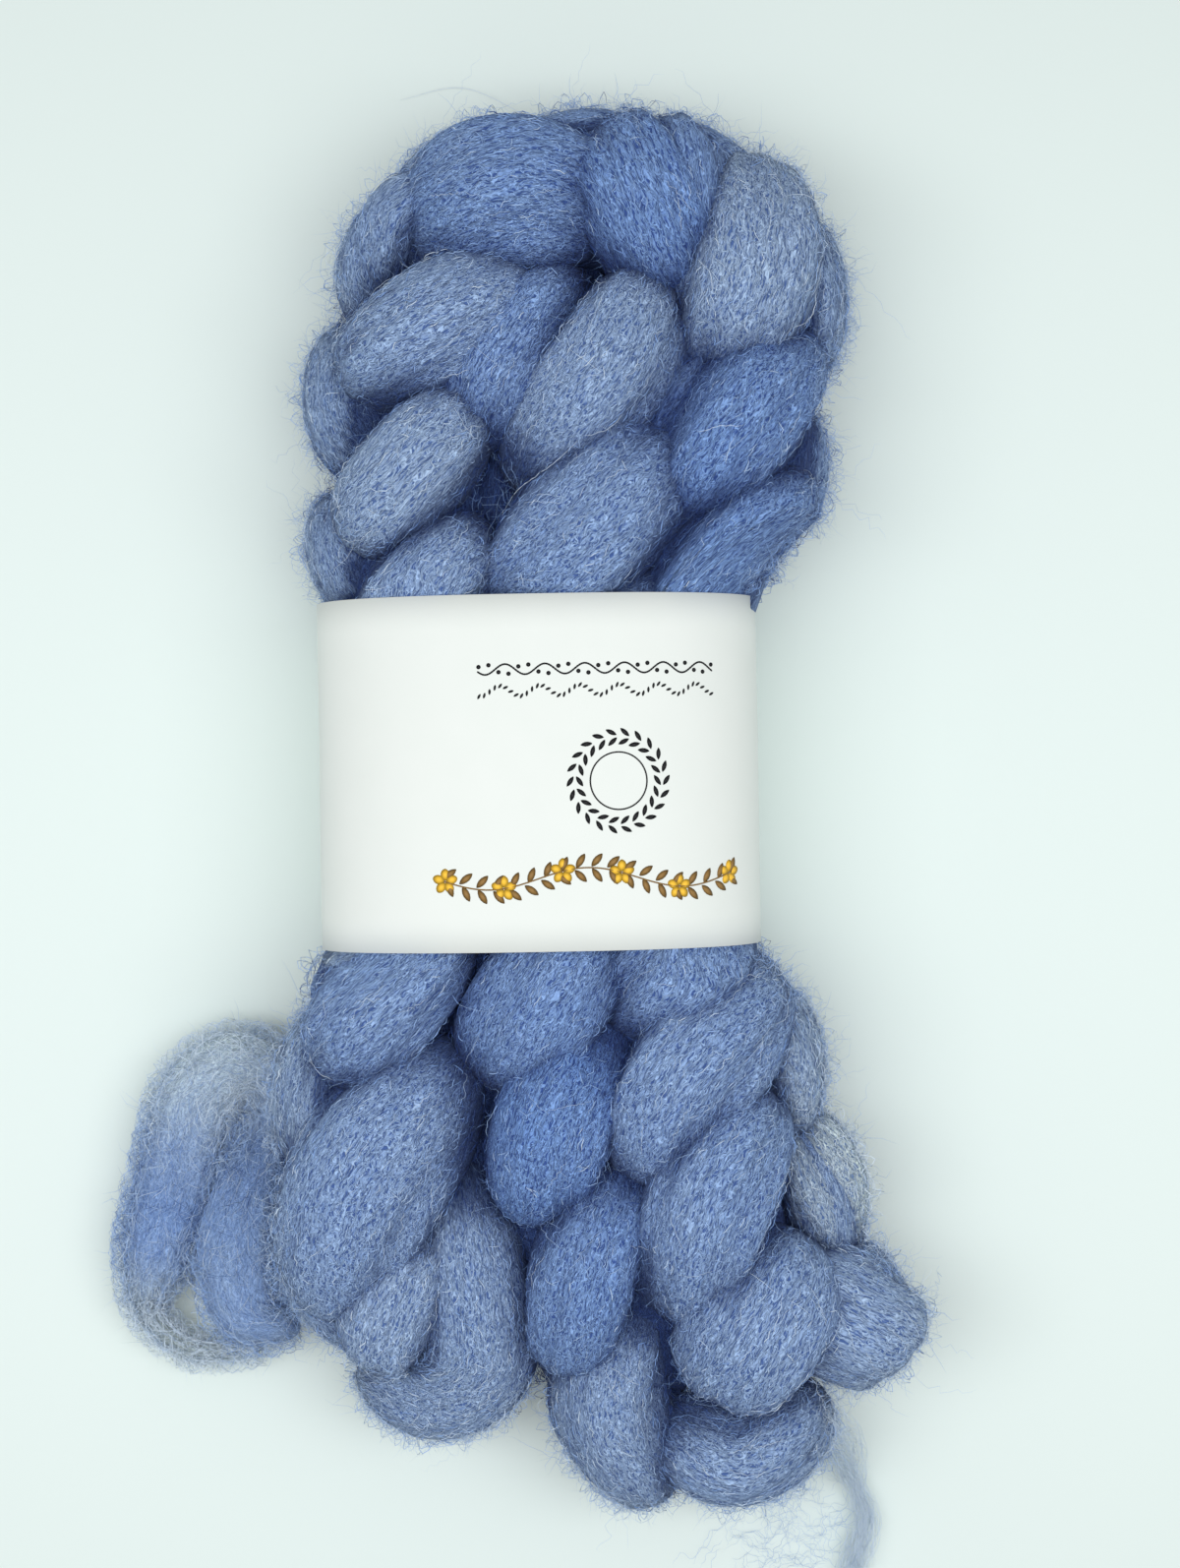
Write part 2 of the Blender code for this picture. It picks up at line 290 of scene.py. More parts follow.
def new_material(name, roughness, sheen=0.0, colour=None):
    """A material with its tree, its Principled shader and even values set on the sockets."""
    material = bpy.data.materials.new(name)
    material.use_nodes = True
    shader = material.node_tree.nodes["Principled BSDF"]
    shader.inputs["Roughness"].default_value = roughness
    shader.inputs["Sheen Weight"].default_value = sheen
    shader.inputs["Sheen Roughness"].default_value = 0.5
    shader.inputs["Specular IOR Level"].default_value = 0.25
    if colour:
        shader.inputs["Base Color"].default_value = colour
    return material, material.node_tree, shader


def lobe_wool(name, contrast, base, relief):
    """Gap colours, painted dark for the shade between threads, and thread colours are mixed by the dye,
    then the thread mask picks between them. Slow noise shifts the dye a little, as hand dyeing does.
    The creases get painted shade from the crease mask, and the dye carries painted light at the
    outline. Airy wool has less contrast over a lighter base, painted light for the light that comes through
    it."""
    material, tree, shader = new_material(name, 0.85, 0.03)
    fibre_map = add_node(tree, "ShaderNodeUVMap", uv_map="along_fibres")
    pattern = tree.nodes.new("ShaderNodeGroup")
    pattern.node_tree = COMBED_FIBRE
    # The dye attribute also carries painted light, at the outline and in the loose end.
    dye_and_painted_light = add_node(tree, "ShaderNodeAttribute", attribute_name="dye_and_painted_light")
    crease_shade = add_node(tree, "ShaderNodeAttribute", attribute_name="crease_shade")
    place = add_node(tree, "ShaderNodeTexCoord")
    cloud = add_node(tree, "ShaderNodeTexNoise", Scale=60.0, Detail=2.0)
    drift = add_math(tree, "MULTIPLY", add_math(tree, "SUBTRACT", cloud.outputs[0], 0.5), 0.5)
    dye_and_light_here = add_math(tree, "ADD", dye_and_painted_light.outputs["Fac"], drift)
    gap_shade = mix_colours(tree, dye_and_light_here, DEEP_GAP_SHADE, PALE_GAP_SHADE)
    threads = mix_colours(tree, dye_and_light_here, DEEP_THREAD, PALE_THREAD)
    mask = add_math(tree, "MULTIPLY", pattern.outputs["Threads"], contrast)
    colour = mix_colours(tree, add_math(tree, "ADD", mask, base), gap_shade, threads)
    # Painted shade: the colour is darkened towards the crease tint by the crease mask.
    colour = mix_colours(tree, crease_shade.outputs["Fac"], colour, CREASE_SHADE_TINT, "MULTIPLY")
    bump = add_node(tree, "ShaderNodeBump", Strength=1.0, Distance=relief)
    connect(
        tree,
        (fibre_map.outputs[0], pattern.inputs["Map"]),
        (place.outputs["Object"], cloud.inputs["Vector"]),
        (colour, shader.inputs["Base Color"]),
        (pattern.outputs["Height"], bump.inputs["Height"]),
        (bump.outputs[0], shader.inputs["Normal"]),
    )
    return material


LOBE_WOOL = lobe_wool("lobe_wool", 1.0, 0.0, 0.0008)
# The airy wool of the loose end has a painted lighter base, for light that comes through the thin wool.
AIRY_WOOL = lobe_wool("airy_wool", 0.6, 0.4, 0.0004)


# %% The material of single fibres
NEARLY_WHITE = (0.76, 0.875, 0.99, 1)
# The ramp's lowest stop is the painted crease shade that fibres in creases are darkened towards.
FIBRE_STOPS = (
    (0.0, CREASE_SHADE), (0.16, DEEP_GAP_SHADE), (0.36, DEEP_THREAD), (0.7, PALE_THREAD), (1.0, NEARLY_WHITE)
)


def fibre_wool():
    """The map's x is a fibre's own shade and its y the way along it. The shade runs from deep to
    pale to nearly white, and the tips are a little paler, where light comes through them."""
    material, tree, shader = new_material("fibre_wool", 0.7, 0.05)
    own_map = add_node(tree, "ShaderNodeUVMap", uv_map="OFBake")
    split = add_node(tree, "ShaderNodeSeparateXYZ")
    ramp = tree.nodes.new("ShaderNodeValToRGB")
    for _ in FIBRE_STOPS[2:]:
        ramp.color_ramp.elements.new(0.5)
    for element, (position, colour) in zip(ramp.color_ramp.elements, FIBRE_STOPS):
        element.position, element.color = position, colour
    from_middle = add_math(tree, "ABSOLUTE", add_math(tree, "SUBTRACT", split.outputs[1], 0.5))
    to_tip = add_math(tree, "POWER", from_middle, 2.0)
    shade = add_math(tree, "ADD", split.outputs[0], add_math(tree, "MULTIPLY", to_tip, 0.3))
    connect(
        tree,
        (own_map.outputs[0], split.inputs[0]),
        (shade, ramp.inputs[0]),
        (ramp.outputs[0], shader.inputs["Base Color"]),
    )
    return material


FIBRE_WOOL = fibre_wool()
print("materials:", LOBE_WOOL.name, AIRY_WOOL.name, FIBRE_WOOL.name)

# %% [markdown]
# ## The lobes
# A chain shows as plump lobes that rise from under one neighbour and dive under the next. Each is
# a bent bean: a centre line through a few points, a squarish oval across it, and a swell that
# closes both ends. A row gives the name, the centre line, the width, the depth and the dye.

# %% Lobes that show from above
LOBE_COLUMNS = ("name", "line", "width", "depth", "dye_and_painted_light")
UPPER_LOBES = (
    ("arch_left", ((-38.5, 122, 30), (-17, 128, 42), (6, 127, 33)), 32, 32, 0.2),
    ("arch_mid", ((4.5, 141.5, 25), (10.5, 127.5, 42), (20, 105, 33)), 28, 32, 0.0),
    ("arch_mid_2", ((18, 141, 23), (21, 130.5, 39), (22.5, 111, 33)), 20, 28, 0.2),
    ("arch_right", ((35, 138, 25), (34, 112, 42), (26, 88, 33)), 31, 32, 1.0),
    ("right_1", ((18, 58, 34), (31.5, 77, 43), (47.5, 99, 30)), 28, 32, 0.0),
    ("right_2", ((15, 30, 35), (29.5, 47.5, 43), (46.5, 68, 28)), 27, 32, 0.0),
    ("right_5", ((7, -55, 35), (20, -38, 43), (36, -21, 33)), 28, 32, 0.35),
    ("right_6", ((10, -86.5, 33), (21.5, -62, 44), (41, -42, 32)), 29, 34, 0.5),
    ("right_7", ((18.5, -118, 31), (25.5, -90, 43), (39, -68, 33)), 28, 34, 0.45),
    ("right_8", ((28.5, -134, 27), (36, -117.5, 38), (46, -100, 30)), 32, 34, 0.65),
    ("right_end", ((42, -110, 26), (57, -118.5, 29), (69.5, -125, 22)), 31, 33, 0.95),
    ("left_fold", ((-31, 131, 28), (-42, 125, 30), (-47, 109, 26)), 17, 28, 0.7),
    ("left_1", ((-53, 89, 31), (-33, 99, 43), (-12, 111, 35)), 28, 33, 0.75),
    ("left_2", ((-52, 54, 33), (-39, 68, 43), (-25, 83, 35)), 26, 33, 1.0),
    ("left_3", ((-50, 22, 34), (-37, 40, 43), (-23, 57, 35)), 26, 32, 0.75),
    ("left_5", ((-58, -39, 35), (-42, -20, 43), (-27, -2, 35)), 28, 32, 1.0),
    ("left_6", ((-58, -62.5, 34), (-44, -46.5, 43), (-28, -31, 35)), 27, 33, 0.4),
    ("left_7", ((-59, -118, 25), (-49.5, -86, 40), (-27, -57, 34)), 35, 35, 0.6),
    (
        "left_tail",
        ((-31, -79, 30), (-26.5, -108, 30), (-26, -127, 24), (-36, -136, 20), (-53, -133, 18)),
        28, 32, 0.85,
    ),
    ("left_tip", ((-47, -126, 25), (-44, -115, 31), (-36, -97, 29)), 25, 30, 1.0),
    ("left_between", ((-28, 75, 31), (-19, 93, 42), (-3, 113, 34)), 25, 30, 0.25),
    ("centre_1", ((-16, 65, 34), (4, 89.5, 44), (14, 110, 34)), 29, 34, 0.8),
    ("centre_nub", ((11, 74, 36), (18.5, 83.5, 41), (25, 94, 35)), 14, 22, 0.35),
    ("centre_2", ((-22, 33, 34), (0, 56, 44), (23, 80, 34)), 32, 34, 0.5),
    ("centre_3", ((-23, 0, 35), (-2, 23, 43), (20, 46, 35)), 31, 33, 0.5),
    ("centre_4", ((-24, -33, 35), (-6, -10, 43), (12, 11, 35)), 31, 33, 0.5),
    ("centre_5", ((-21, -66, 34), (-10, -46, 43), (3, -27, 35)), 29, 33, 0.15),
    ("centre_6", ((-13, -96, 32), (-8, -72, 42), (5, -47, 34)), 27, 33, -0.15),
    ("centre_7", ((-6, -130, 29), (-1, -106, 38), (8, -81, 32)), 24, 32, 0.1),
    ("bottom_left", ((11.5, -111, 28), (4.6, -137, 28), (15, -162, 20)), 25.5, 32, 0.8),
    ("bottom_loop", ((14, -142, 22), (33, -149.5, 26), (53, -137, 22)), 26, 32, 0.75),
)
RIM_LOBES = (
    ("arch_1", ((-47, 101, 18), (-47, 118, 20), (-38, 132, 20)), 20, 38, 0.75),
    ("arch_2", ((-42, 126, 20), (-29, 136, 22), (-12, 142, 20)), 21, 38, 0.6),
    ("arch_3", ((-19, 139, 19), (-1, 140.5, 22), (17, 139, 19)), 22, 37, 0.3),
    ("arch_4", ((8, 142, 20), (25, 135, 22), (41, 119, 20)), 22, 38, 0.4),
    ("right_1", ((43, 130, 19), (47, 109, 20), (45, 92, 18)), 24, 38, 0.7),
    ("right_2", ((45, 88, 18), (43, 68, 19), (34, 48, 18)), 19, 38, 0.3),
    ("left_1", ((-51, 105, 18), (-53, 85, 19), (-45, 67, 18)), 22, 38, 0.7),
    ("left_2", ((-54, 67, 18), (-53, 51, 19), (-43, 32, 18)), 22, 38, 0.7),
    ("left_3", ((-53, -47, 19), (-62, -69, 22), (-60, -92, 19)), 20, 38, 1.0),
    ("left_4", ((-63, -92, 17), (-57, -110, 18), (-47, -127, 17)), 22, 38, 0.7),
    ("right_3", ((31, -37, 18), (42.5, -59, 20), (44.5, -82, 18)), 20, 40, (0.2, 1.0, 1.4, 1.4)),
    ("right_4", ((41, -72, 18), (50, -91, 22), (54, -110, 18)), 20, 30, 0.9),
    ("strand_out", ((44, -71, 20), (52, -80, 27), (57, -90, 26), (59, -107, 20)), 11, 17, 2.3),
    ("strand_in", ((43, -73, 24), (47, -86, 31), (51.5, -97, 30), (54, -109, 22)), 10, 15, 1.6),
    ("right_5", ((40, -116, 17), (54, -121, 18), (66, -123, 16)), 24, 33, 0.7),
)
RUN_CORES = (
    ("left", ((-33, 122, 27), (-38, 22, 27), (-44, -48, 26), (-42, -128, 21)), 36, 34, 0.0),
    ("centre", ((-6, 128, 27), (-1, 44, 27), (-9, -34, 27), (-3, -105, 22), (10, -144, 20)), 36, 32, 0.0),
    ("right", ((32, 122, 27), (32, 44, 28), (21, -45, 28), (29, -99, 25), (42, -130, 23)), 34, 35, 0.0),
    ("left_seam", ((-20, 96, 31), (-23, 0, 31), (-25, -60, 28), (-20, -112, 19)), 16, 26, 0.0),
    ("right_seam", ((18, 104, 31), (15, 30, 31), (9, -60, 30), (13, -112, 27), (21, -136, 26)), 20, 28, 0.0),
    ("arch", ((-40, 108, 27), (-22, 127, 28), (12, 128, 27), (34, 106, 26)), 34, 34, 0.0),
)

# %% [markdown]
# ## The underside
# Long cores lie inside each run, so that no gap between two lobes can be seen through. The back of
# a chain shows a plainer row of lobes that slant the other way. They are set out at even steps
# along each run, so a loop makes their rows.

# %% Lobes under the hank
UNDER_WIDTH, UNDER_DEPTH, UNDER_HEIGHT = 32.0, 35.0, 17.0
UNDER_REACH = np.array((-12.0, 15.0, 0.0))
UNDER_DYE = 0.5
UNDER_RUNS = (
    (7, ((-38, 112), (-40, 22), (-45, -48), (-46, -120))),
    (7, ((-3, 118), (0, 44), (-9, -34), (-6, -100), (9, -138))),
    (4, ((-44, 108), (-22, 130), (12, 130), (36, 108))),
    (7, ((31, 112), (29, 44), (21, -41), (30, -99), (38, -126))),
)
BAND_MIDDLE = (-11.3, 2.4)
BAND_COVERS = 22.0


def smooth_run(points, share):
    """A Catmull-Rom curve: four neighbouring points are weighed by cubics of the place between the
    middle two, and beyond each end stands the mirror image of the second point."""
    points = np.asarray(points, float)
    knots = np.vstack((2 * points[0] - points[1], points, 2 * points[-1] - points[-2]))
    place = np.clip(share, 0, 1) * (len(points) - 1)
    first = np.minimum(place.astype(int), len(points) - 2)
    t = (place - first)[..., None]
    a, b, c, d = (knots[first + step] for step in range(4))
    return 0.5 * (2 * b + (c - a) * t + (2 * a - 5 * b + 4 * c - d) * t**2 + (3 * b - a - 3 * c + d) * t**3)


def under_rows():
    """Each row's centre is at (i + 1/2) / count of its run, and it reaches the same way to both
    sides of it. A lobe that the band would pinch is left out."""
    rows = []
    for count, line in UNDER_RUNS:
        line = np.column_stack((np.array(line, float), np.full(len(line), UNDER_HEIGHT)))
        for centre in smooth_run(line, (np.arange(count) + 0.5) / count):
            if abs(centre[1] - BAND_MIDDLE[1]) > BAND_COVERS:
                ends = (centre - UNDER_REACH, centre, centre + UNDER_REACH)
                rows.append(("under", ends, UNDER_WIDTH, UNDER_DEPTH, UNDER_DYE))
    return rows


# %% [markdown]
# ## The bent bean
# The whole surface is one formula of two numbers: the share along the lobe and the angle round
# it. The same formula later says where a fibre lies, so fibres follow every swelling and fold.

# %% The lobe surface
BLUNTNESS = 2.15
SQUARENESS = 2.25
TANGENT_STEP = 0.02
WAVES_ROUND = np.array((2, 3, 4, 6, 9, 13, 18))
WAVE_SIZES = np.array((0.042, 0.042, 0.034, 0.024, 0.020, 0.016, 0.013))
WAVES_ALONG = 1.3
BAND_HALF_WIDTH, BAND_HALF_DEPTH, BAND_HEIGHT = 49.0, 30.0, 76.0
BAND_AXIS_HEIGHT = 29.2
BAND_SQUARENESS = 2.6
BAND_TURN = math.radians(1.0)
TURN_COS, TURN_SIN = math.cos(BAND_TURN), math.sin(BAND_TURN)
WOOL_CLEARANCE = 1.6
PUFF, PUFF_START, PUFF_LENGTH = 4.0, -1.5, 8.0
FLARE, FLARE_START, FLARE_LENGTH = 30.0, 2.0, 36.0
FLARE_SLOPE = 0.6
REST_HEIGHT = 0.3


def unit(vectors):
    """Each vector over its own length."""
    return vectors / np.maximum(np.linalg.norm(vectors, axis=-1, keepdims=True), 1e-9)


def smooth_step(value):
    """0 below 0, 1 above 1, and 3 v squared less 2 v cubed between."""
    value = np.clip(value, 0, 1)
    return value * value * (3 - 2 * value)


def squarish(turn, squareness):
    """The cosine and the sine to two over the squareness, with their signs kept: an oval that is
    drawn out towards its corners."""
    return (np.sign(wave) * np.abs(wave) ** (2 / squareness) for wave in (np.cos(turn), np.sin(turn)))


def from_band(sideways, lengthways, height):
    """Places across and along the band, turned with it and moved to its middle."""
    return np.stack(
        (
            BAND_MIDDLE[0] + TURN_COS * sideways - TURN_SIN * lengthways,
            BAND_MIDDLE[1] + TURN_SIN * sideways + TURN_COS * lengthways,
            height,
        ),
        axis=-1,
    )


def squeeze_in_band(points):
    """Across the band, a point's oval radius is the 2.6-norm of its sideways and upward places
    over the band's half sizes. Where that is over the room at that place along the hank, the point
    is drawn straight in to it. The room widens beyond the paper's edges, where wool puffs out."""
    off_x, off_y, upwards = np.moveaxis(points - (*BAND_MIDDLE, BAND_AXIS_HEIGHT), -1, 0)
    sideways = TURN_COS * off_x + TURN_SIN * off_y
    lengthways = -TURN_SIN * off_x + TURN_COS * off_y
    beyond = np.abs(lengthways) - 0.5 * BAND_HEIGHT
    room = PUFF * smooth_step((beyond - PUFF_START) / PUFF_LENGTH)
    room = room + FLARE * smooth_step((beyond - FLARE_START) / FLARE_LENGTH) - WOOL_CLEARANCE
    room = room + FLARE_SLOPE * np.maximum(beyond - FLARE_LENGTH, 0)
    across = np.abs(sideways / (BAND_HALF_WIDTH + room)) ** BAND_SQUARENESS
    rise = np.abs(upwards / (BAND_HALF_DEPTH + room)) ** BAND_SQUARENESS
    draw = 1 / np.maximum((across + rise) ** (1 / BAND_SQUARENESS), 1)
    return from_band(sideways * draw, lengthways, np.maximum(BAND_AXIS_HEIGHT + upwards * draw, REST_HEIGHT))


def along_lobe(values, share):
    """Evenly spaced values are joined by straight lines along a lobe. A lone value holds all along."""
    values = np.atleast_1d(values)
    return np.interp(share, np.linspace(0, 1, len(values)), values)


def lobe_surface(lobe, share, angle):
    """centre + side x half width x swell x across + up x half depth x swell x rise. swell is girth x
    (1 - |2 share - 1| to the bluntness) to one over it, across and rise are the squarish cosine
    and sine of the angle, and a few cosines round and along the lobe make it uneven."""
    steps = (-TANGENT_STEP, 0, TANGENT_STEP)
    before, centre, after = (smooth_run(lobe["line"], share + step) for step in steps)
    ahead = unit(after - before)
    side = unit(np.cross(ahead, (0.0, 0.0, 1.0)))
    up = np.cross(side, ahead)
    swell = np.maximum(1 - np.abs(2 * np.clip(share, 0, 1) - 1) ** BLUNTNESS, 0) ** (1 / BLUNTNESS)
    phases = lobe["turns"] * share[..., None] + lobe["phases"] + WAVES_ROUND * angle[..., None]
    swell = swell * (1 + (WAVE_SIZES * np.cos(phases)).sum(axis=-1)) * along_lobe(lobe["girth"], share)
    across, rise = squarish(angle, SQUARENESS)
    across, rise = 0.5 * lobe["width"] * swell * across, 0.5 * lobe["depth"] * swell * rise
    points = centre + (side * across[..., None] + up * rise[..., None])
    if lobe["free"]:
        return np.concatenate((points[..., :2], np.maximum(points[..., 2:], REST_HEIGHT)), axis=-1)
    return squeeze_in_band(points)


def measure(points):
    """The sum of the distances between neighbours."""
    return float(np.linalg.norm(np.diff(points, axis=0), axis=-1).sum())


def prepare_lobes(rows, fineness, seed, free=False, girth=1.0):
    """Each row becomes a record with its own phases, its length, and its faces round and along. A
    free lobe lies clear of the band. girth widens or narrows it on its way."""
    random = np.random.default_rng(seed)
    lobes = []
    for row in rows:
        lobe = dict(zip(LOBE_COLUMNS, row))
        lobe["line"], lobe["girth"] = np.array(lobe["line"], float), girth
        lobe["phases"] = random.uniform(0, 2 * math.pi, len(WAVES_ROUND))
        lobe["turns"] = random.normal(0, WAVES_ALONG * math.pi, len(WAVES_ROUND))
        lobe["length"] = measure(smooth_run(lobe["line"], np.linspace(0, 1, 33)))
        lobe["round"], lobe["along"], lobe["free"] = *fineness, free
        lobes.append(lobe)
    return lobes


UPPER = prepare_lobes(UPPER_LOBES, (46, 26), 11)
RIM = prepare_lobes(RIM_LOBES, (40, 24), 12)
UNDER = prepare_lobes(under_rows(), (28, 16), 13)
CORES = prepare_lobes(RUN_CORES, (24, 40), 15)
LOBES = UPPER + RIM + UNDER + CORES
print(f"{len(UPPER)} upper, {len(RIM)} rim and {len(UNDER)} under lobes")

# %% [markdown]
# ## Which wool shows, and where the creases are
# Most of a lobe's skin is buried under its neighbours, and fibres there would be wasted. A height
# map of the top and one of the underside, on a grid of 1 mm, tell what shows. A valley that is
# narrow enough for a square of 17 mm, or of 7 mm, to bridge is a crease, where shade is painted into the
# colour.

# %% Height maps of the braid
GRID_LOW = np.array((-125.0, -190.0))
GRID_SIZE = (215, 365)
BRIDGE_REACHES = (8, 3)
CREASES = ((0.6, 9.0, 1.0), (0.3, 2.4, 0.7))
OUTLINE_REACH = 4


def cells_of(points):
    """The grid cell under each point, as two rows of numbers."""
    return tuple((points[..., :2] - GRID_LOW).astype(int).reshape(-1, 2).T)


def height_maps(lobes):
    """Every lobe is sampled densely. Each grid cell keeps its highest and its lowest sample."""
    highest = np.full(GRID_SIZE, -np.inf)
    lowest = np.full(GRID_SIZE, np.inf)
    shares, angles = np.linspace(0.002, 0.998, 150), np.linspace(0, 2 * math.pi, 200)
    for lobe in lobes:
        points = lobe_surface(lobe, *np.meshgrid(shares, angles, indexing="ij")).reshape(-1, 3)
        np.maximum.at(highest, cells_of(points), points[:, 2])
        np.minimum.at(lowest, cells_of(points), points[:, 2])
    return highest, lowest


def bridge(heights, reach):
    """The greatest height within reach of each cell, then the least of those within reach: valleys
    narrower than twice the reach are filled and nothing else rises."""
    for pick in (np.maximum, np.minimum):
        for axis in (0, 1):
            shifted = [np.roll(heights, step, axis) for step in range(-reach, reach + 1)]
            heights = pick.reduce(shifted)
    return heights


def bridge_all():
    """The height map bridged at the wide reach and at the narrow one."""
    return [bridge(np.where(np.isfinite(HIGHEST), HIGHEST, 0), reach) for reach in BRIDGE_REACHES]


def crease_shade_at(points):
    """How deep in a crease a point lies, which sets how much shade is painted there: a bridged height
    less its own, smoothed from 0 at the first number of CREASES over the second, times the third. The greater
    of the two reaches holds."""
    depths = [bridged[cells_of(points)].reshape(points.shape[:-1]) - points[..., 2] for bridged in BRIDGED]
    return np.maximum.reduce(
        [most * smooth_step((depth - start) / over) for depth, (start, over, most) in zip(depths, CREASES)]
    )


def near_outline(points):
    """The share of uncovered table within 4 mm of each point, times 4 and at most 1."""
    bare = ~np.isfinite(HIGHEST)
    steps = range(-OUTLINE_REACH, OUTLINE_REACH + 1)
    share = np.mean([np.roll(bare, (right, up), (0, 1)) for right in steps for up in steps], axis=0)
    return np.minimum(4 * share[cells_of(points)], 1)


HIGHEST, LOWEST = height_maps(LOBES)
BRIDGED = bridge_all()
print(f"covered {np.isfinite(HIGHEST).sum()} square mm of table")

# %% [markdown]
# ## Lobe meshes
# A grid of angles and shares makes each lobe, with one point at each end. Rings crowd towards the
# ends, where the bean closes. A map along the fibres is stored in centimetres for the pattern.


# %% Build the lobes
CM = 0.1
# Painted light: wool within reach of the outline is made paler by this lift of its dye.
OUTLINE_PAINTED_LIGHT = 0.5
MAP_SHIFT = np.array((7.3, 3.1))


def lobe_grid(lobe):
    """Rings at share (1 - cos v) / 2, each with evenly stepped angles, and one point at each end.
    Returns points, triangles, the corners' fibre map and the points' dye."""
    around, along = lobe["round"], lobe["along"]
    share = 0.5 - 0.5 * np.cos(np.linspace(0, math.pi, along + 1)[1:-1])
    angle = np.linspace(0, 2 * math.pi, around, endpoint=False)
    rings = lobe_surface(lobe, *np.meshgrid(share, angle, indexing="ij"))
    tips = lobe_surface(lobe, np.array((0.0, 1.0)), np.array((0.0, 0.0)))
    points = np.vstack((rings.reshape(-1, 3), tips))
    ring, step = np.meshgrid(np.arange(along - 2), np.arange(around), indexing="ij")
    here, beside = ring * around + step, ring * around + (step + 1) % around
    walls = np.stack((here, here + around, beside + around, here, beside + around, beside), axis=-1)
    first, last = np.arange(around), (along - 2) * around + np.arange(around)
    start_cap = np.stack((np.full(around, len(points) - 2), first, (first + 1) % around), axis=-1)
    end_cap = np.stack((last, np.full(around, len(points) - 1), np.roll(last, -1)), axis=-1)
    faces = np.vstack((walls.reshape(-1, 3), start_cap, end_cap))
    girth = 0.5 * math.pi * (lobe["width"] + lobe["depth"]) * CM
    share_of_point = np.append(np.repeat(share, around), (0.0, 1.0))
    turn_of_point = np.append(np.tile(angle, along - 1), (math.pi, math.pi)) / (2 * math.pi)
    corners_u = (share_of_point * lobe["length"] * CM)[faces]
    corners_v = (turn_of_point * girth)[faces]
    wraps = np.ptp(corners_v, axis=1) > 0.5 * girth
    corners_v[wraps] += np.where(corners_v[wraps] < 0.5 * girth, girth, 0)
    fibre_map = np.stack((corners_u, corners_v), axis=-1).reshape(-1, 2)
    return points, faces, fibre_map, along_lobe(lobe["dye_and_painted_light"], share_of_point)


def join_lobes(name, lobes, shade=0.9):
    """The lobes' grids one after another in one mesh. Each lobe's map is moved by its own amount,
    so that no two lobes show the same pattern. At the outline, where light comes through, the wool
    is painted paler by a lift of its dye. shade sets how strongly shade is painted into the creases."""
    points, faces, maps, dyes_and_light = zip(*(lobe_grid(lobe) for lobe in lobes))
    starts = np.cumsum([0] + [len(part) for part in points])
    faces = np.vstack([part + start for part, start in zip(faces, starts)])
    maps = np.vstack([part + number * MAP_SHIFT for number, part in enumerate(maps)])
    points = np.vstack(points)
    # Painted light: the dye is lifted near the outline.
    dye_and_painted_light = np.concatenate(dyes_and_light) + OUTLINE_PAINTED_LIGHT * near_outline(points)
    # Painted shade in the creases, scaled by shade.
    values = {"dye_and_painted_light": dye_and_painted_light, "crease_shade": shade * crease_shade_at(points)}
    return mesh_from(name, points, faces, {"along_fibres": maps}, values)


upper_piece = add_piece(join_lobes("upper_lobes", UPPER), LOBE_WOOL)
lower_piece = add_piece(join_lobes("rim_and_under_lobes", LOBES[len(UPPER) :]), LOBE_WOOL)
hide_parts("braid")
for piece in (upper_piece, lower_piece):
    print(piece.name, len(piece.data.polygons), "faces")

# %% [markdown]
# ## Single fibres
# A lying fibre is a thin three-sided tube with pointed ends. It starts at a random spot of a lobe
# that shows, runs along the lobe's fibres with a little wander, waves up and down with its crimp,
# and takes the lobe's dye with a shade of its own. Arrays make them all at once.

# %% Fibre tubes
NODES = 5
SIDES = 3


def tube_faces(nodes):
    """Corner numbers of one fibre: a point, then rings of three, then a point."""
    rings = np.arange(nodes - 2)[:-1, None] * SIDES + 1
    step, beside = np.arange(SIDES), (np.arange(SIDES) + 1) % SIDES
    here, next_to_it = rings + step, rings + beside
    quads = np.stack((here, next_to_it, next_to_it + SIDES, here + SIDES), axis=-1).reshape(-1, 4)
    walls = np.vstack((quads[:, (0, 1, 2)], quads[:, (0, 2, 3)]))
    last = (nodes - 3) * SIDES + 1
    start = np.stack((np.zeros(SIDES, int), beside + 1, step + 1), axis=-1)
    end = np.stack((last + step, last + beside, np.full(SIDES, last + SIDES)), axis=-1)
    return np.vstack((walls, start, end))


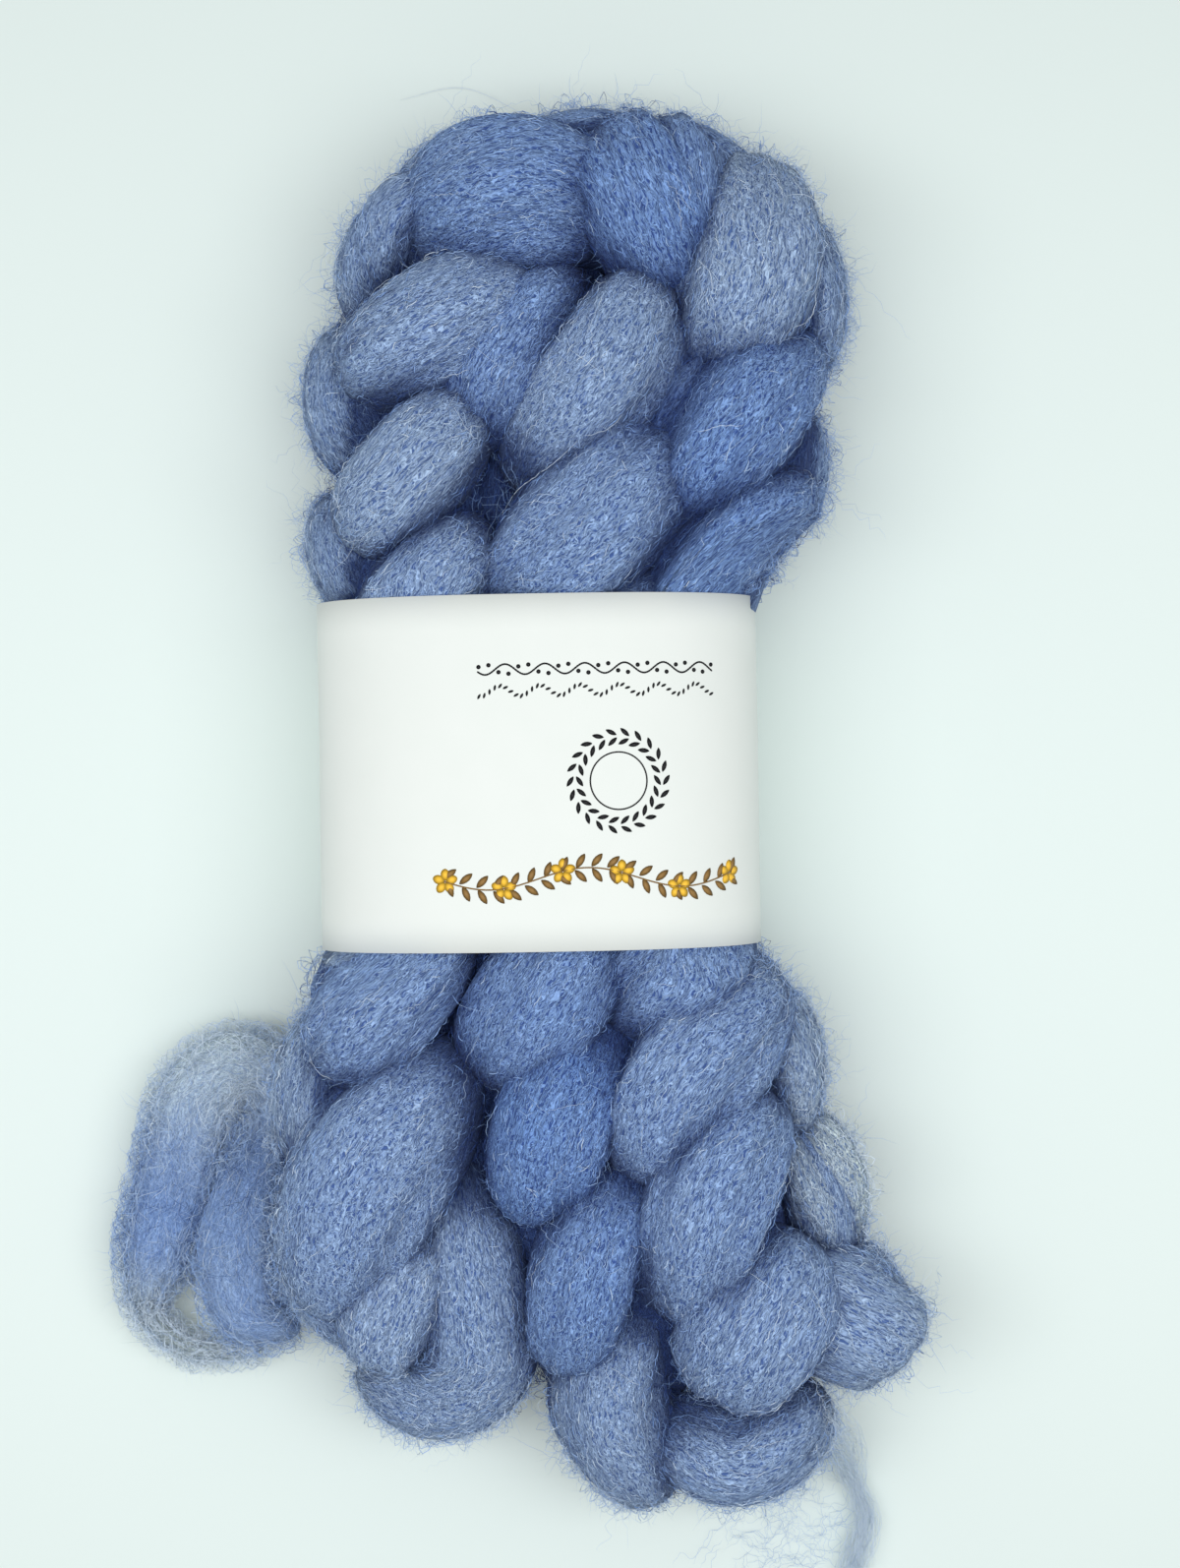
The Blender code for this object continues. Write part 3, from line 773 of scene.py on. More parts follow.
def fibre_mesh(name, paths, radii, shades, random):
    """Each path of points becomes a tube whose ring is the cross of its direction with a random
    one, turned by thirds. The map puts a fibre's shade in x, a hair wide, and its way along in y."""
    count, nodes = paths.shape[:2]
    ahead = unit(np.gradient(paths, axis=1))
    aside = unit(np.cross(ahead, unit(random.normal(size=(count, 1, 3)))))
    above = np.cross(aside, ahead)
    turn = np.arange(SIDES) * 2 * math.pi / SIDES
    taper = np.linspace(-1, 1, nodes)[1:-1]
    ring_radius = (radii[:, None] * (1 - 0.5 * taper**2))[..., None, None]
    rings = paths[:, 1:-1, None] + ring_radius * (
        aside[:, 1:-1, None] * np.cos(turn)[:, None] - above[:, 1:-1, None] * np.sin(turn)[:, None]
    )
    points = np.concatenate((paths[:, :1], rings.reshape(count, -1, 3), paths[:, -1:]), axis=1)
    per_fibre = points.shape[1]
    faces = tube_faces(nodes)[None] + (np.arange(count) * per_fibre)[:, None, None]
    along = np.concatenate(((0.0,), np.repeat(np.linspace(0, 1, nodes)[1:-1], SIDES), (1.0,)))
    wobble = np.concatenate(((0.0,), np.tile((-0.004, 0.0, 0.004), nodes - 2), (0.0,)))
    places = np.stack(np.broadcast_arrays(np.clip(shades, 0.01, 0.99)[:, None] + wobble, along), axis=-1)
    return mesh_from(name, points.reshape(-1, 3), faces.reshape(-1, 3), {"OFBake": places.reshape(-1, 2)})


# %% Where fibres start and how they lie
PAPER_MARGIN = 3.0
CRIMP_LENGTHS, CRIMP_SIZES = (1.6, 3.4), (0.1, 0.38)
SKIN_GAP, LEAST_GAP, CRIMP_RISE = 0.08, 0.02, 0.12


def across_spot(lobe, share, angle, share_step=0.0, angle_step=0.0):
    """From the surface a step behind each spot to the surface a step ahead of it."""
    ahead = lobe_surface(lobe, share + share_step, angle + angle_step)
    return ahead - lobe_surface(lobe, share - share_step, angle - angle_step)


def surface_normal(lobe, share, angle):
    """The cross of the surface's small steps round and along."""
    step_round = across_spot(lobe, share, angle, angle_step=0.01)
    step_along = across_spot(lobe, share, angle, share_step=0.004)
    return unit(np.cross(step_along, step_round))


def seed_spots(lobe, count, random):
    """Random spots of a lobe that show: those no more than a margin under the highest surface, or
    over the lowest, where the margin grows with the slope. The band's covered wool is left out."""
    share = random.beta(1.25, 1.25, count)
    angle = random.uniform(0, 2 * math.pi, count)
    place = lobe_surface(lobe, share, angle)
    normal = surface_normal(lobe, share, angle)
    margin = 1.0 / np.maximum(np.abs(normal[:, 2]), 0.25)
    seen = place[:, 2] > HIGHEST[cells_of(place)] - margin
    seen = seen | (place[:, 2] < LOWEST[cells_of(place)] + margin)
    keep = seen & (np.abs(place[:, 1] - BAND_MIDDLE[1]) >= 0.5 * BAND_HEIGHT - PAPER_MARGIN)
    return share[keep], angle[keep], place[keep], normal[keep]


def above_table(paths):
    """No point goes lower than the rest height."""
    paths[..., 2] = np.maximum(paths[..., 2], REST_HEIGHT)
    return paths


def lie_along(lobe, share, angle, length, wander, lift, nodes, random):
    """From its spot, a fibre steps evenly both ways. Its heading is the lobe's own lines turned by
    wander, its height over the skin is lift times a curve that is low at both ends, and sines of
    its own phase crimp it sideways and up."""
    steps = np.linspace(-0.5, 0.5, nodes) * length[:, None]
    pace_along = np.linalg.norm(across_spot(lobe, share, angle, share_step=0.01), axis=-1) / 0.02
    pace_round = np.linalg.norm(across_spot(lobe, share, angle, angle_step=0.02), axis=-1) / 0.04
    phase, phase_up = random.uniform(0, 2 * math.pi, (2, len(share), 1))
    crimp = 2 * math.pi * steps / random.uniform(*CRIMP_LENGTHS, (len(share), 1))
    crimp_size = random.uniform(*CRIMP_SIZES, (len(share), 1))
    sideways = steps * np.sin(wander)[:, None] + crimp_size * np.sin(crimp + phase)
    forward = steps * np.cos(wander)[:, None]
    share_there = np.clip(share[:, None] + forward / np.maximum(pace_along, 15)[:, None], 0.004, 0.996)
    angle_there = angle[:, None] + sideways / np.maximum(pace_round, 5)[:, None]
    skin = lobe_surface(lobe, share_there, angle_there)
    normal = surface_normal(lobe, share_there, angle_there)
    arch = 1 - (2 * steps / length[:, None]) ** 2
    height = SKIN_GAP + lift[:, None] * arch + CRIMP_RISE * np.sin(crimp + phase_up)
    return above_table(skin + normal * np.maximum(height, LEAST_GAP)[..., None])


def clear_of_paper(paths, shades):
    """A fibre that comes within the band's height would lie over the paper, so it is left out."""
    lengthways = (paths[..., 1] - BAND_MIDDLE[1]) - BAND_TURN * (paths[..., 0] - BAND_MIDDLE[0])
    clear = np.abs(lengthways).min(axis=1) > 0.5 * BAND_HEIGHT - 0.3
    return paths[clear], shades[clear]


# %% Comb the fibres over the lobes
OUTLINE_LIFT, HIGHEST_LIFT = 9.0, 3.5
TOP_SHARE, OUTLINE_SHARE, UNDER_SHARE = 0.45, 0.55, 0.12
FIBRE_SHADE, FIBRE_DYE = 0.36, 0.26
SPOTS_A_FIBRE, SPOTS_A_HAIR = 14, 34
TURNED_SHARE, TURNED_MORE = 0.3, 3.0


def share_out(lobes, count, spots_each):
    """So many spots for each of the count, shared among the lobes by length x (width + depth).
    Most of the spots turn out to be buried."""
    areas = np.array([lobe["length"] * (lobe["width"] + lobe["depth"]) for lobe in lobes])
    return zip(lobes, np.round(areas / areas.sum() * count * spots_each).astype(int))


def pick_from(paths, shades, count, radius, random):
    """At most count of the paths that are clear of the paper, each with a radius of its own."""
    paths, shades = clear_of_paper(np.concatenate(paths), np.concatenate(shades))
    pick = random.permutation(len(paths))[:count]
    print(f"{len(paths)} could show, {len(pick)} made")
    return paths[pick], random.uniform(*radius, len(pick)), shades[pick], random


def comb_fibres(lobes, count, seed, length, lift, radius, wander, brightness, nodes=NODES, shade_in_creases=0.85):
    """Fibres lie on top of each lobe and few underneath. Those in a crease get painted shade: their own
    shade falls by the crease mask times the crease factor. Returns their paths, radii and shades, and the
    random source."""
    random = np.random.default_rng(seed)
    paths, shades = [], []
    for lobe, quota in share_out(lobes, count, SPOTS_A_FIBRE):
        share, angle, place, normal = seed_spots(lobe, quota, random)
        outline = near_outline(place)
        wanted = np.where(normal[:, 2] > -0.2, TOP_SHARE + OUTLINE_SHARE * outline, UNDER_SHARE)
        thin = random.uniform(size=len(share)) < wanted
        share, angle = share[thin], angle[thin]
        spots = len(share)
        lengths = random.uniform(*length, spots)
        turned = np.where(random.uniform(size=spots) < TURNED_SHARE, TURNED_MORE, 1.0)
        headings = random.normal(0, wander, spots) * turned
        raised = 1 + OUTLINE_LIFT * outline[thin] * random.uniform(size=spots) ** 2
        lifts = np.minimum(random.gamma(1.6, lift, spots) * raised, HIGHEST_LIFT)
        laid = lie_along(lobe, share, angle, lengths, headings, lifts, nodes, random)
        paths.append(laid)
        own_shade = FIBRE_SHADE + FIBRE_DYE * along_lobe(lobe["dye_and_painted_light"], share)
        own_shade = own_shade + random.normal(brightness, 0.2, spots)
        # Painted shade: a fibre deep in a crease is darkened.
        shades.append(own_shade * (1 - shade_in_creases * crease_shade_at(laid[:, nodes // 2])))
    return pick_from(paths, shades, count, radius, random)


# %% Lay the fibres
FIBRE_COUNT = int(13500 * FINE)
LONG_COUNT, LONG_NODES = int(1050 * FINE), 13
FIBRES_A_PIECE = 9000


def add_fibres(name, paths, radii, shades, random):
    """Fibres from the top of the hank to its foot, in pieces of no more than 9000."""
    order = np.argsort(-paths[:, 0, 1])
    for number, start in enumerate(range(0, len(order), FIBRES_A_PIECE)):
        part = order[start : start + FIBRES_A_PIECE]
        mesh = fibre_mesh(f"{name}_{number + 1}", paths[part], radii[part], shades[part], random)
        add_piece(mesh, FIBRE_WOOL)
        print(mesh.name, len(part), "fibres,", len(mesh.polygons), "faces")


def add_bundle(name, slot, paths, radii, shades, random):
    """Fibres that make one piece of their own."""
    return add_piece(fibre_mesh(name, paths, radii, shades, random), FIBRE_WOOL)


LYING = comb_fibres(LOBES, FIBRE_COUNT, 21, (2.0, 4.4), 0.2, (0.055, 0.105), 0.33, 0.08)
add_fibres("combed_fibres", *LYING)
LOOSE = comb_fibres(UPPER + RIM, LONG_COUNT, 22, (6.0, 11.0), 0.45, (0.035, 0.055), 0.4, 0.28, LONG_NODES)
add_fibres("loose_fibres", *LOOSE)

# %% [markdown]
# ## Fuzz
# At the outline single hairs stand off the wool and fade it into the ground. They start like the
# lying fibres but rise steadily to one free end, and they are thinner. The shortest make a mist,
# and a few long ones stray.


# %% How a hair stands off
LINE_PART, RANDOM_PART = 0.9, 0.55
CURL_LENGTHS, CURL_SHARES = (2.0, 4.0), (0.4, 1.2)
ROOT_DEPTH = 0.3


def rise_from(lobe, share, angle, place, normal, length, stand, nodes, random):
    """A hair leaves its spot along a mix of the normal, the lobe's line and a random direction,
    and bends as it goes: place + direction x way + bend x way squared, and two sines curl it.
    stand is the normal's greatest part in the mix."""
    count = len(share)
    way = np.linspace(0, 1, nodes)[None, :, None] * length[:, None, None]
    line = unit(across_spot(lobe, share, angle, share_step=0.01))
    line = line * np.where(random.uniform(size=(count, 1)) < 0.5, 1, -1)
    upright = random.uniform(0.2, 1, (count, 1)) * stand * normal
    start = unit(upright + LINE_PART * line + RANDOM_PART * random.normal(size=(count, 3)))
    bend = random.normal(size=(count, 3)) * 0.09 / np.maximum(length / 5, 1)[:, None] ** 1.5
    curl_axis = unit(np.cross(start, random.normal(size=(count, 3))))
    second_axis = np.cross(start, curl_axis)
    phase, second_phase = random.uniform(0, 2 * math.pi, (2, count, 1, 1))
    turn = 2 * math.pi * way / random.uniform(*CURL_LENGTHS, (count, 1, 1))
    size = 0.18 + 0.13 * np.minimum(length, 5)[:, None, None]
    curl = size * random.uniform(*CURL_SHARES, (count, 1, 1)) * np.sin(turn + phase)
    second_curl = size * random.uniform(*CURL_SHARES, (count, 1, 1)) * np.sin(0.8 * turn + second_phase)
    root = place - ROOT_DEPTH * normal
    path = root[:, None] + start[:, None] * way + bend[:, None] * way**2
    path = path + curl_axis[:, None] * curl + second_axis[:, None] * second_curl
    path[..., 2] = np.minimum(path[..., 2], place[:, None, 2] + HIGHEST_LIFT)
    return above_table(path)


# %% Raise the fuzz, the mist of short ends and the strays
FACE_SHARE, FLANK_SHARE, RIM_SHARE = 0.008, 0.06, 0.93
HAIR_SHADE, HAIR_DYE = 0.44, 0.24


def raise_fuzz(lobes, count, seed, length, radius, nodes, stand=0.8):
    """Hairs go mostly where the skin meets the outline, which is where they show. length holds
    the mean and the greatest."""
    random = np.random.default_rng(seed)
    paths, shades = [], []
    for lobe, quota in share_out(lobes, count, SPOTS_A_HAIR):
        share, angle, place, normal = seed_spots(lobe, quota, random)
        flank = (1 - np.abs(normal[:, 2])) ** 1.5
        wanted = FACE_SHARE + flank * (FLANK_SHARE + RIM_SHARE * near_outline(place))
        keep = random.uniform(size=len(share)) < wanted
        share, angle, place, normal = share[keep], angle[keep], place[keep], normal[keep]
        lengths = np.minimum(random.gamma(3.0, length[0] / 3.0, len(share)) + 0.6, length[1])
        paths.append(rise_from(lobe, share, angle, place, normal, lengths, stand, nodes, random))
        own_shade = HAIR_SHADE + HAIR_DYE * along_lobe(lobe["dye_and_painted_light"], share)
        own_shade = own_shade + random.normal(0.16, 0.12, len(share))
        # Painted shade: a hair deep in a crease is darkened by half the crease mask.
        shades.append(own_shade * (1 - 0.5 * crease_shade_at(place)))
    return pick_from(paths, shades, count, radius, random)


MIST_COUNT, FUZZ_COUNT, STRAY_COUNT = int(15500 * FINE), int(2400 * FINE), int(260 * FINE)
MIST_NODES, FUZZ_NODES, STRAY_NODES = 4, 6, 14
OUTSIDE = UPPER + RIM
MIST = raise_fuzz(OUTSIDE, MIST_COUNT, 31, (2.4, 5.5), (0.022, 0.04), MIST_NODES, stand=0.65)
add_fibres("mist", *MIST)
FUZZ = raise_fuzz(OUTSIDE, FUZZ_COUNT, 32, (3.4, 7.0), (0.025, 0.045), FUZZ_NODES)
add_fibres("fuzz", *FUZZ)
STRAYS = raise_fuzz(OUTSIDE, STRAY_COUNT, 33, (11.0, 18.0), (0.022, 0.035), STRAY_NODES, stand=0.28)
add_bundle("stray_hairs", "wool", *STRAYS)

# %% [markdown]
# ## The loose end
# The roving's end is curled back on itself, low and fluffy, to the left of the foot. It is a limp
# soft cord: a tube along a hooked route, thick where the curl is full. The tube's skin is the
# same formula as a lobe's, with a closed end at each side.

# %% Curl the loose end
CURL_ROUTE = np.array(
    (
        (-67, -126, 12), (-78, -120, 15), (-80, -107, 17), (-78.5, -95, 17), (-75.5, -86, 15),
        (-72.5, -77, 12), (-74, -68, 10), (-82, -65.5, 9), (-90.5, -72, 9), (-93.5, -84, 9),
        (-97, -97, 9), (-100.5, -109, 9), (-103, -121, 7), (-93, -131, 6), (-76, -131, 7),
    ),
    float,
)
CURL_DIAMETER, CURL_HEIGHT = 22.0, 17.0
CURL_GIRTH = (1.15, 1.28, 1.1, 0.8, 0.55, 0.5, 0.62, 0.72, 0.8, 0.82, 0.84, 0.78, 0.34, 0.34, 0.5)
# The loose end's dye along its route. Where it is over 1 the wool is painted paler than any dye, for the
# light that comes through the thin wool there.
CURL_DYE_AND_PAINTED_LIGHT = (0.6, 0.5, 0.4, 0.3, 0.4, 0.9, 1.9, 2.3, 1.8, 0.8, 0.15, 0.5, 2.3, 3.3, 2.0)
CURL_ROW = ("loose_end", CURL_ROUTE, CURL_DIAMETER, CURL_HEIGHT, CURL_DYE_AND_PAINTED_LIGHT)
CURL = prepare_lobes((CURL_ROW,), (44, 90), 14, free=True, girth=CURL_GIRTH)
HIGHEST, LOWEST = height_maps(LOBES + CURL)
BRIDGED = bridge_all()
curl_piece = add_piece(join_lobes("loose_curl", CURL, shade=0.5), AIRY_WOOL)
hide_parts("loose_end")

# %% [markdown]
# ## The wisp
# A thin drawn-out lock trails from the foot to the right and leaves the picture. It has no skin:
# it is a bundle of fibres that follow one route. A web of fine hairs lies beside it.

# %% Draw out the wisp
WISP_ROUTE = np.array(
    (
        (51, -139, 33), (55.5, -148, 21), (59, -157, 8.5), (62, -163.5, 4.6),
        (64.3, -170.5, 4.2), (63, -177.5, 4.2), (61.3, -184, 4.2), (59.5, -194, 4.2),
    ),
    float,
)
WISP_SPREAD = (4.2, 4.8, 4.2, 1.7, 2.8, 3.0, 3.2, 2.6)
WISP_FIBRES = 1250


def lock_of_fibres(route, count, spread, length, random):
    """Each fibre takes a stretch of the route and stays at its own place in the round section,
    which drifts and crimps as it goes: route(share) + spread x its place, at most 1.4 spreads
    from the route. The spread is a row of values along the route."""
    middle = random.uniform(0, 1, (count, 1))
    share = middle + np.linspace(-0.5, 0.5, NODES) * random.uniform(*length, (count, 1))
    centre = smooth_run(route, np.clip(share, 0, 1))
    spot = random.normal(size=(count, 1, 3)) * (0.55, 0.55, 0.3)
    drift = random.normal(size=(count, 1, 3)) * 0.35 * np.linspace(-1, 1, NODES)[None, :, None]
    crimp = random.normal(size=(count, NODES, 3)) * 0.13
    place = spot + drift + crimp
    place = place / np.maximum(np.linalg.norm(place, axis=-1, keepdims=True) / 1.4, 1)
    return above_table(centre + place * along_lobe(spread, share)[..., None])


random = np.random.default_rng(41)
lock = lock_of_fibres(WISP_ROUTE, WISP_FIBRES, WISP_SPREAD, (0.08, 0.25), random)
lock_radii, lock_shades = random.uniform(0.03, 0.048, WISP_FIBRES), random.normal(1.0, 0.07, WISP_FIBRES)
wisp_piece = add_bundle("drawn_wisp", "wool_wisp", lock, lock_radii, lock_shades, random)
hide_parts("wisp")

# %% Fibres of the loose end
CURL_COUNT, CURL_FUZZ_COUNT = int(7500 * FINE), int(2300 * FINE)
CURL_LYING = comb_fibres(CURL, CURL_COUNT, 42, (4.0, 8.0), 0.55, (0.035, 0.07), 0.45, 0.1, shade_in_creases=0.3)
curl_fibres = add_bundle("loose_curl_fibres", "wool_end", *CURL_LYING)
CURL_FUZZ = raise_fuzz(CURL, CURL_FUZZ_COUNT, 43, (3.2, 5.5), (0.03, 0.05), NODES)
curl_fuzz = add_bundle("loose_curl_fuzz", "wool_end", *CURL_FUZZ)

# %% Long hairs that catch the eye
LONG_HAIRS = (
    ((-19.5, 57.5), (-15.5, 63.5), (-8.5, 68), (-2.5, 73)),
    ((23, 112), (25.5, 108.5), (26, 104.5)),
    ((37, 127), (38.5, 121), (37.5, 116)),
    ((-90, -70), (-89.3, -74), (-88.6, -76.5), (-87, -79)),
    ((-45, 160), (-30, 163), (-16, 157), (-8, 152)),
    ((57, 132), (60, 128), (56, 125), (53, 129), (55, 133)),
)
EXTRA_HEIGHT = (0.5, 0.3, 0.3, 2.4, 0.0, 0.0)


def skin_height(places):
    """The braid's top under each place, or a little over the table beside it."""
    heights = HIGHEST[cells_of(places)]
    return np.where(np.isfinite(heights), heights + 0.9, 2.0)


def web_of_hairs(count, low, high, length, random):
    """Hairs start anywhere between two corners, head anywhere and wave on two sines."""
    way = np.linspace(0, 1, 14)[None, :] * random.uniform(*length, (count, 1))
    start = random.uniform(low, high, (count, 2))
    heading, phase, second_phase = random.uniform(0, 2 * math.pi, (3, count, 1))
    swing, pace = random.uniform(0.4, 1.6, (count, 1)), random.uniform(0.4, 1.2, (count, 1))
    aside = swing * np.sin(way * pace + phase) + 0.3 * np.sin(way * 2.4 + second_phase)
    x = start[:, :1] + np.cos(heading) * way - np.sin(heading) * aside
    y = start[:, 1:] + np.sin(heading) * way + np.cos(heading) * aside
    return np.stack((x, y, random.uniform(0.5, 3, (count, 1)) + 0 * x), axis=-1)


WEB_COUNT = 130
BRIGHT_RADIUS, BRIGHT_SHADE = 0.07, 0.95
random = np.random.default_rng(51)
web = web_of_hairs(WEB_COUNT, (30, -183), (58, -165), (5.0, 14.0), random)
web_radii, web_shades = random.uniform(0.02, 0.035, WEB_COUNT), random.normal(0.5, 0.1, WEB_COUNT)
add_bundle("web_hairs", "wool", web, web_radii, web_shades, random)
hairs = np.stack([smooth_run(hair, np.linspace(0, 1, 30)) for hair in LONG_HAIRS])
tall = np.stack([skin_height(hair) + extra for hair, extra in zip(hairs, EXTRA_HEIGHT)])
hairs = np.concatenate((hairs, tall[..., None]), axis=-1)
same = np.ones(len(hairs))
add_bundle("long_hairs", "wool", hairs, BRIGHT_RADIUS * same, BRIGHT_SHADE * same, random)
print(WEB_COUNT, "hairs in the web and", len(hairs), "long bright ones")

# %% [markdown]
# ## The paper band
# A strip of smooth paper goes once round the hank, and its ends overlap underneath, where they are
# glued. The strip's line is the band's squarish oval, and over the overlap it slides inwards by
# twice its own thickness.

# %% Paper outline
PAPER_THICKNESS = 0.25
STRIP = (76.0, 279.0)
INSET_OUTSIDE, INSET_INSIDE = 0.3, 0.8
OVAL_STEPS = 1440
SLIDE_LENGTH = 12.0
WAVINESS = 0.12


def oval_table():
    """The oval's points by 1/1440 of a turn from its lowest, with the length run up to each."""
    turn = np.linspace(-0.5 * math.pi, 1.5 * math.pi, OVAL_STEPS + 1)
    x, z = squarish(turn, BAND_SQUARENESS)
    outline = np.stack((BAND_HALF_WIDTH * x, BAND_HALF_DEPTH * z), axis=-1)
    run = np.append(0.0, np.cumsum(np.linalg.norm(np.diff(outline, axis=0), axis=1)))
    return outline, run


OVAL, OVAL_RUN = oval_table()
OVERLAP = STRIP[1] - OVAL_RUN[-1]
print(f"round the hank {OVAL_RUN[-1]:.0f} mm, overlap {OVERLAP:.0f} mm")


def paper_point(run, width, above=0.0):
    """A place on the strip, by its run along the strip and its place across: the oval's point at
    that run, drawn in by the inset, turned with the band. above lifts it along the outward way."""
    wrapped = np.mod(run, OVAL_RUN[-1])
    oval = np.stack([np.interp(wrapped, OVAL_RUN, OVAL[:, axis]) for axis in (0, 1)], axis=-1)
    inset = INSET_INSIDE + (INSET_OUTSIDE - INSET_INSIDE) * smooth_step((run - OVERLAP) / SLIDE_LENGTH)
    inset = inset + WAVINESS * np.sin(run / 23.0 + width / 31.0) * np.cos(width / 17.0 + run / 41.0)
    scale = 1 - (inset - above)[..., None] / np.array((BAND_HALF_WIDTH, BAND_HALF_DEPTH))
    sideways, upwards = np.moveaxis(oval * scale, -1, 0)
    return from_band(sideways, width, np.maximum(BAND_AXIS_HEIGHT + upwards, inset - above))


def paper_material():
    """Smooth uncoated paper: nearly white, with the faintest cloud and tooth."""
    material, tree, shader = new_material("smooth_paper", 0.55)
    place = add_node(tree, "ShaderNodeTexCoord")
    cloud = add_node(tree, "ShaderNodeTexNoise", Scale=120.0, Detail=3.0)
    tooth = add_node(tree, "ShaderNodeTexNoise", Scale=2600.0, Detail=2.0)
    bump = add_node(tree, "ShaderNodeBump", Strength=0.12, Distance=0.0001)
    colour = mix_colours(tree, cloud.outputs[0], (0.745, 0.785, 0.75, 1), (0.775, 0.81, 0.78, 1))
    connect(
        tree,
        (place.outputs["Object"], cloud.inputs["Vector"]),
        (place.outputs["Object"], tooth.inputs["Vector"]),
        (colour, shader.inputs["Base Color"]),
        (tooth.outputs[0], bump.inputs["Height"]),
        (bump.outputs[0], shader.inputs["Normal"]),
    )
    return material


PAPER = paper_material()


def paper_mesh():
    """A grid of runs and widths, later given its thickness."""
    runs, widths = np.linspace(0, STRIP[1], 260), np.linspace(-0.5 * STRIP[0], 0.5 * STRIP[0], 11)
    points = paper_point(*np.meshgrid(runs, widths, indexing="ij")).reshape(-1, 3)
    row, step = np.meshgrid(np.arange(len(runs) - 1), np.arange(len(widths) - 1), indexing="ij")
    corner = (row * len(widths) + step).reshape(-1, 1)
    faces = np.hstack((corner, corner + 1, corner + len(widths) + 1, corner + len(widths)))
    return mesh_from("paper_strip", points, faces)


paper_piece = add_piece(paper_mesh(), PAPER)
thickness = paper_piece.modifiers.new("thickness", "SOLIDIFY")
thickness.thickness, thickness.offset = PAPER_THICKNESS * MM, 0.0
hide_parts("paper_band")
print("paper strip", len(paper_piece.data.polygons), "faces")

# %% [markdown]
# ## The print on the band
# The band's face carries a small generic ornament of our own: a black wavy chain of dots, a round
# wreath of leaves and a garland of yellow flowers. Every mark is a thin lens of ink that lies on
# the paper, so one function makes them all from rows of place, size, turn and point.

# %% Marks of ink
MARK_CORNERS = 14
INK_EDGE, INK_TOP, INK_UNDER = 0.165, 0.185, 0.13


def ink_marks(name, marks, colour):
    """A mark's outline is length / 2 x cos along it and width / 2 x sin x |sin| to the point
    across it, turned and moved to its place. A centre above and one below close it as a lens."""
    places, lengths, widths, turns, pointed = marks
    t = np.linspace(0, 2 * math.pi, MARK_CORNERS, endpoint=False)
    along = 0.5 * lengths[:, None] * np.cos(t)
    across = 0.5 * widths[:, None] * np.sin(t) * np.abs(np.sin(t)) ** pointed[:, None]
    turn_cos, turn_sin = np.cos(turns)[:, None], np.sin(turns)[:, None]
    sideways = places[:, :1] + along * turn_cos - across * turn_sin
    lengthways = places[:, 1:] + along * turn_sin + across * turn_cos
    sideways = np.hstack((sideways, places[:, :1], places[:, :1]))
    lengthways = np.hstack((lengthways, places[:, 1:], places[:, 1:]))
    above = np.append(np.full(MARK_CORNERS, INK_EDGE), (INK_TOP, INK_UNDER)) + 0 * sideways
    corners = paper_point(0.5 * OVAL_RUN[-1] - sideways, lengthways, above)
    step = np.arange(MARK_CORNERS)
    upper = np.stack((step, np.roll(step, -1), np.full(MARK_CORNERS, MARK_CORNERS)), axis=-1)
    under = np.stack((np.roll(step, -1), step, np.full(MARK_CORNERS, MARK_CORNERS + 1)), axis=-1)
    faces = np.vstack((upper, under))[None] + (np.arange(len(places)) * (MARK_CORNERS + 2))[:, None, None]
    mesh = mesh_from(name, corners.reshape(-1, 3), faces.reshape(-1, 3))
    return add_piece(mesh, new_material(name + "_ink", 0.5, colour=colour)[0])


def alike(places, length, width, turns, point=0.0):
    """Marks of one size at these places, each with its own turn."""
    ones = np.ones(len(places))
    return [places, length * ones, width * ones, turns, point * ones]


def marks_along(path, length, width, turn=0.0, point=0.0):
    """Marks at the points of a path, each turned from the path's own direction."""
    ahead = np.gradient(path, axis=0)
    return alike(path, length, width, np.arctan2(ahead[:, 1], ahead[:, 0]) + turn, point)


def joined(*groups):
    """Groups of marks as one."""
    return [np.concatenate(columns) for columns in zip(*groups)]


# %% Draw the ornament
CHAIN = dict(left=-12.0, right=39.0, height=22.0, wave=8.5, swing=1.1)
WREATH = dict(middle=np.array((17.5, -2.0)), radius=9.5, leaves=22)
GARLAND = dict(left=-20.0, right=43.0, height=-22.5, swing=2.2, wave=42.0, flowers=6)
PETALS = 5


def wavy(span, count, lift=0.0, phase=0.0):
    """Even steps from left to right, with the height swinging by a sine."""
    u = np.linspace(span["left"], span["right"], count)
    v = span["height"] + lift + span["swing"] * np.sin(2 * math.pi * u / span["wave"] + phase)
    return np.stack((u, v), axis=-1)


def on_circle(turns, radius):
    """radius x the cosine and the sine of each turn."""
    return radius * np.stack((np.cos(turns), np.sin(turns)), axis=-1)


def wreath_leaves(radius, turn):
    """Leaves round a circle, each leaning from its line by turn."""
    around = np.linspace(0, 2 * math.pi, WREATH["leaves"], endpoint=False)
    return alike(WREATH["middle"] + on_circle(around, radius), 2.6, 1.0, around + 0.5 * math.pi + turn, 0.7)


def petals():
    """Five petals stand round each flower's middle, a fifth of a turn apart."""
    middles = np.repeat(wavy(GARLAND, GARLAND["flowers"]), PETALS, axis=0)
    turns = np.tile(np.arange(PETALS) * 2 * math.pi / PETALS + 0.3, GARLAND["flowers"])
    return alike(middles + on_circle(turns, 1.5), 2.6, 2.0, turns, 0.2)


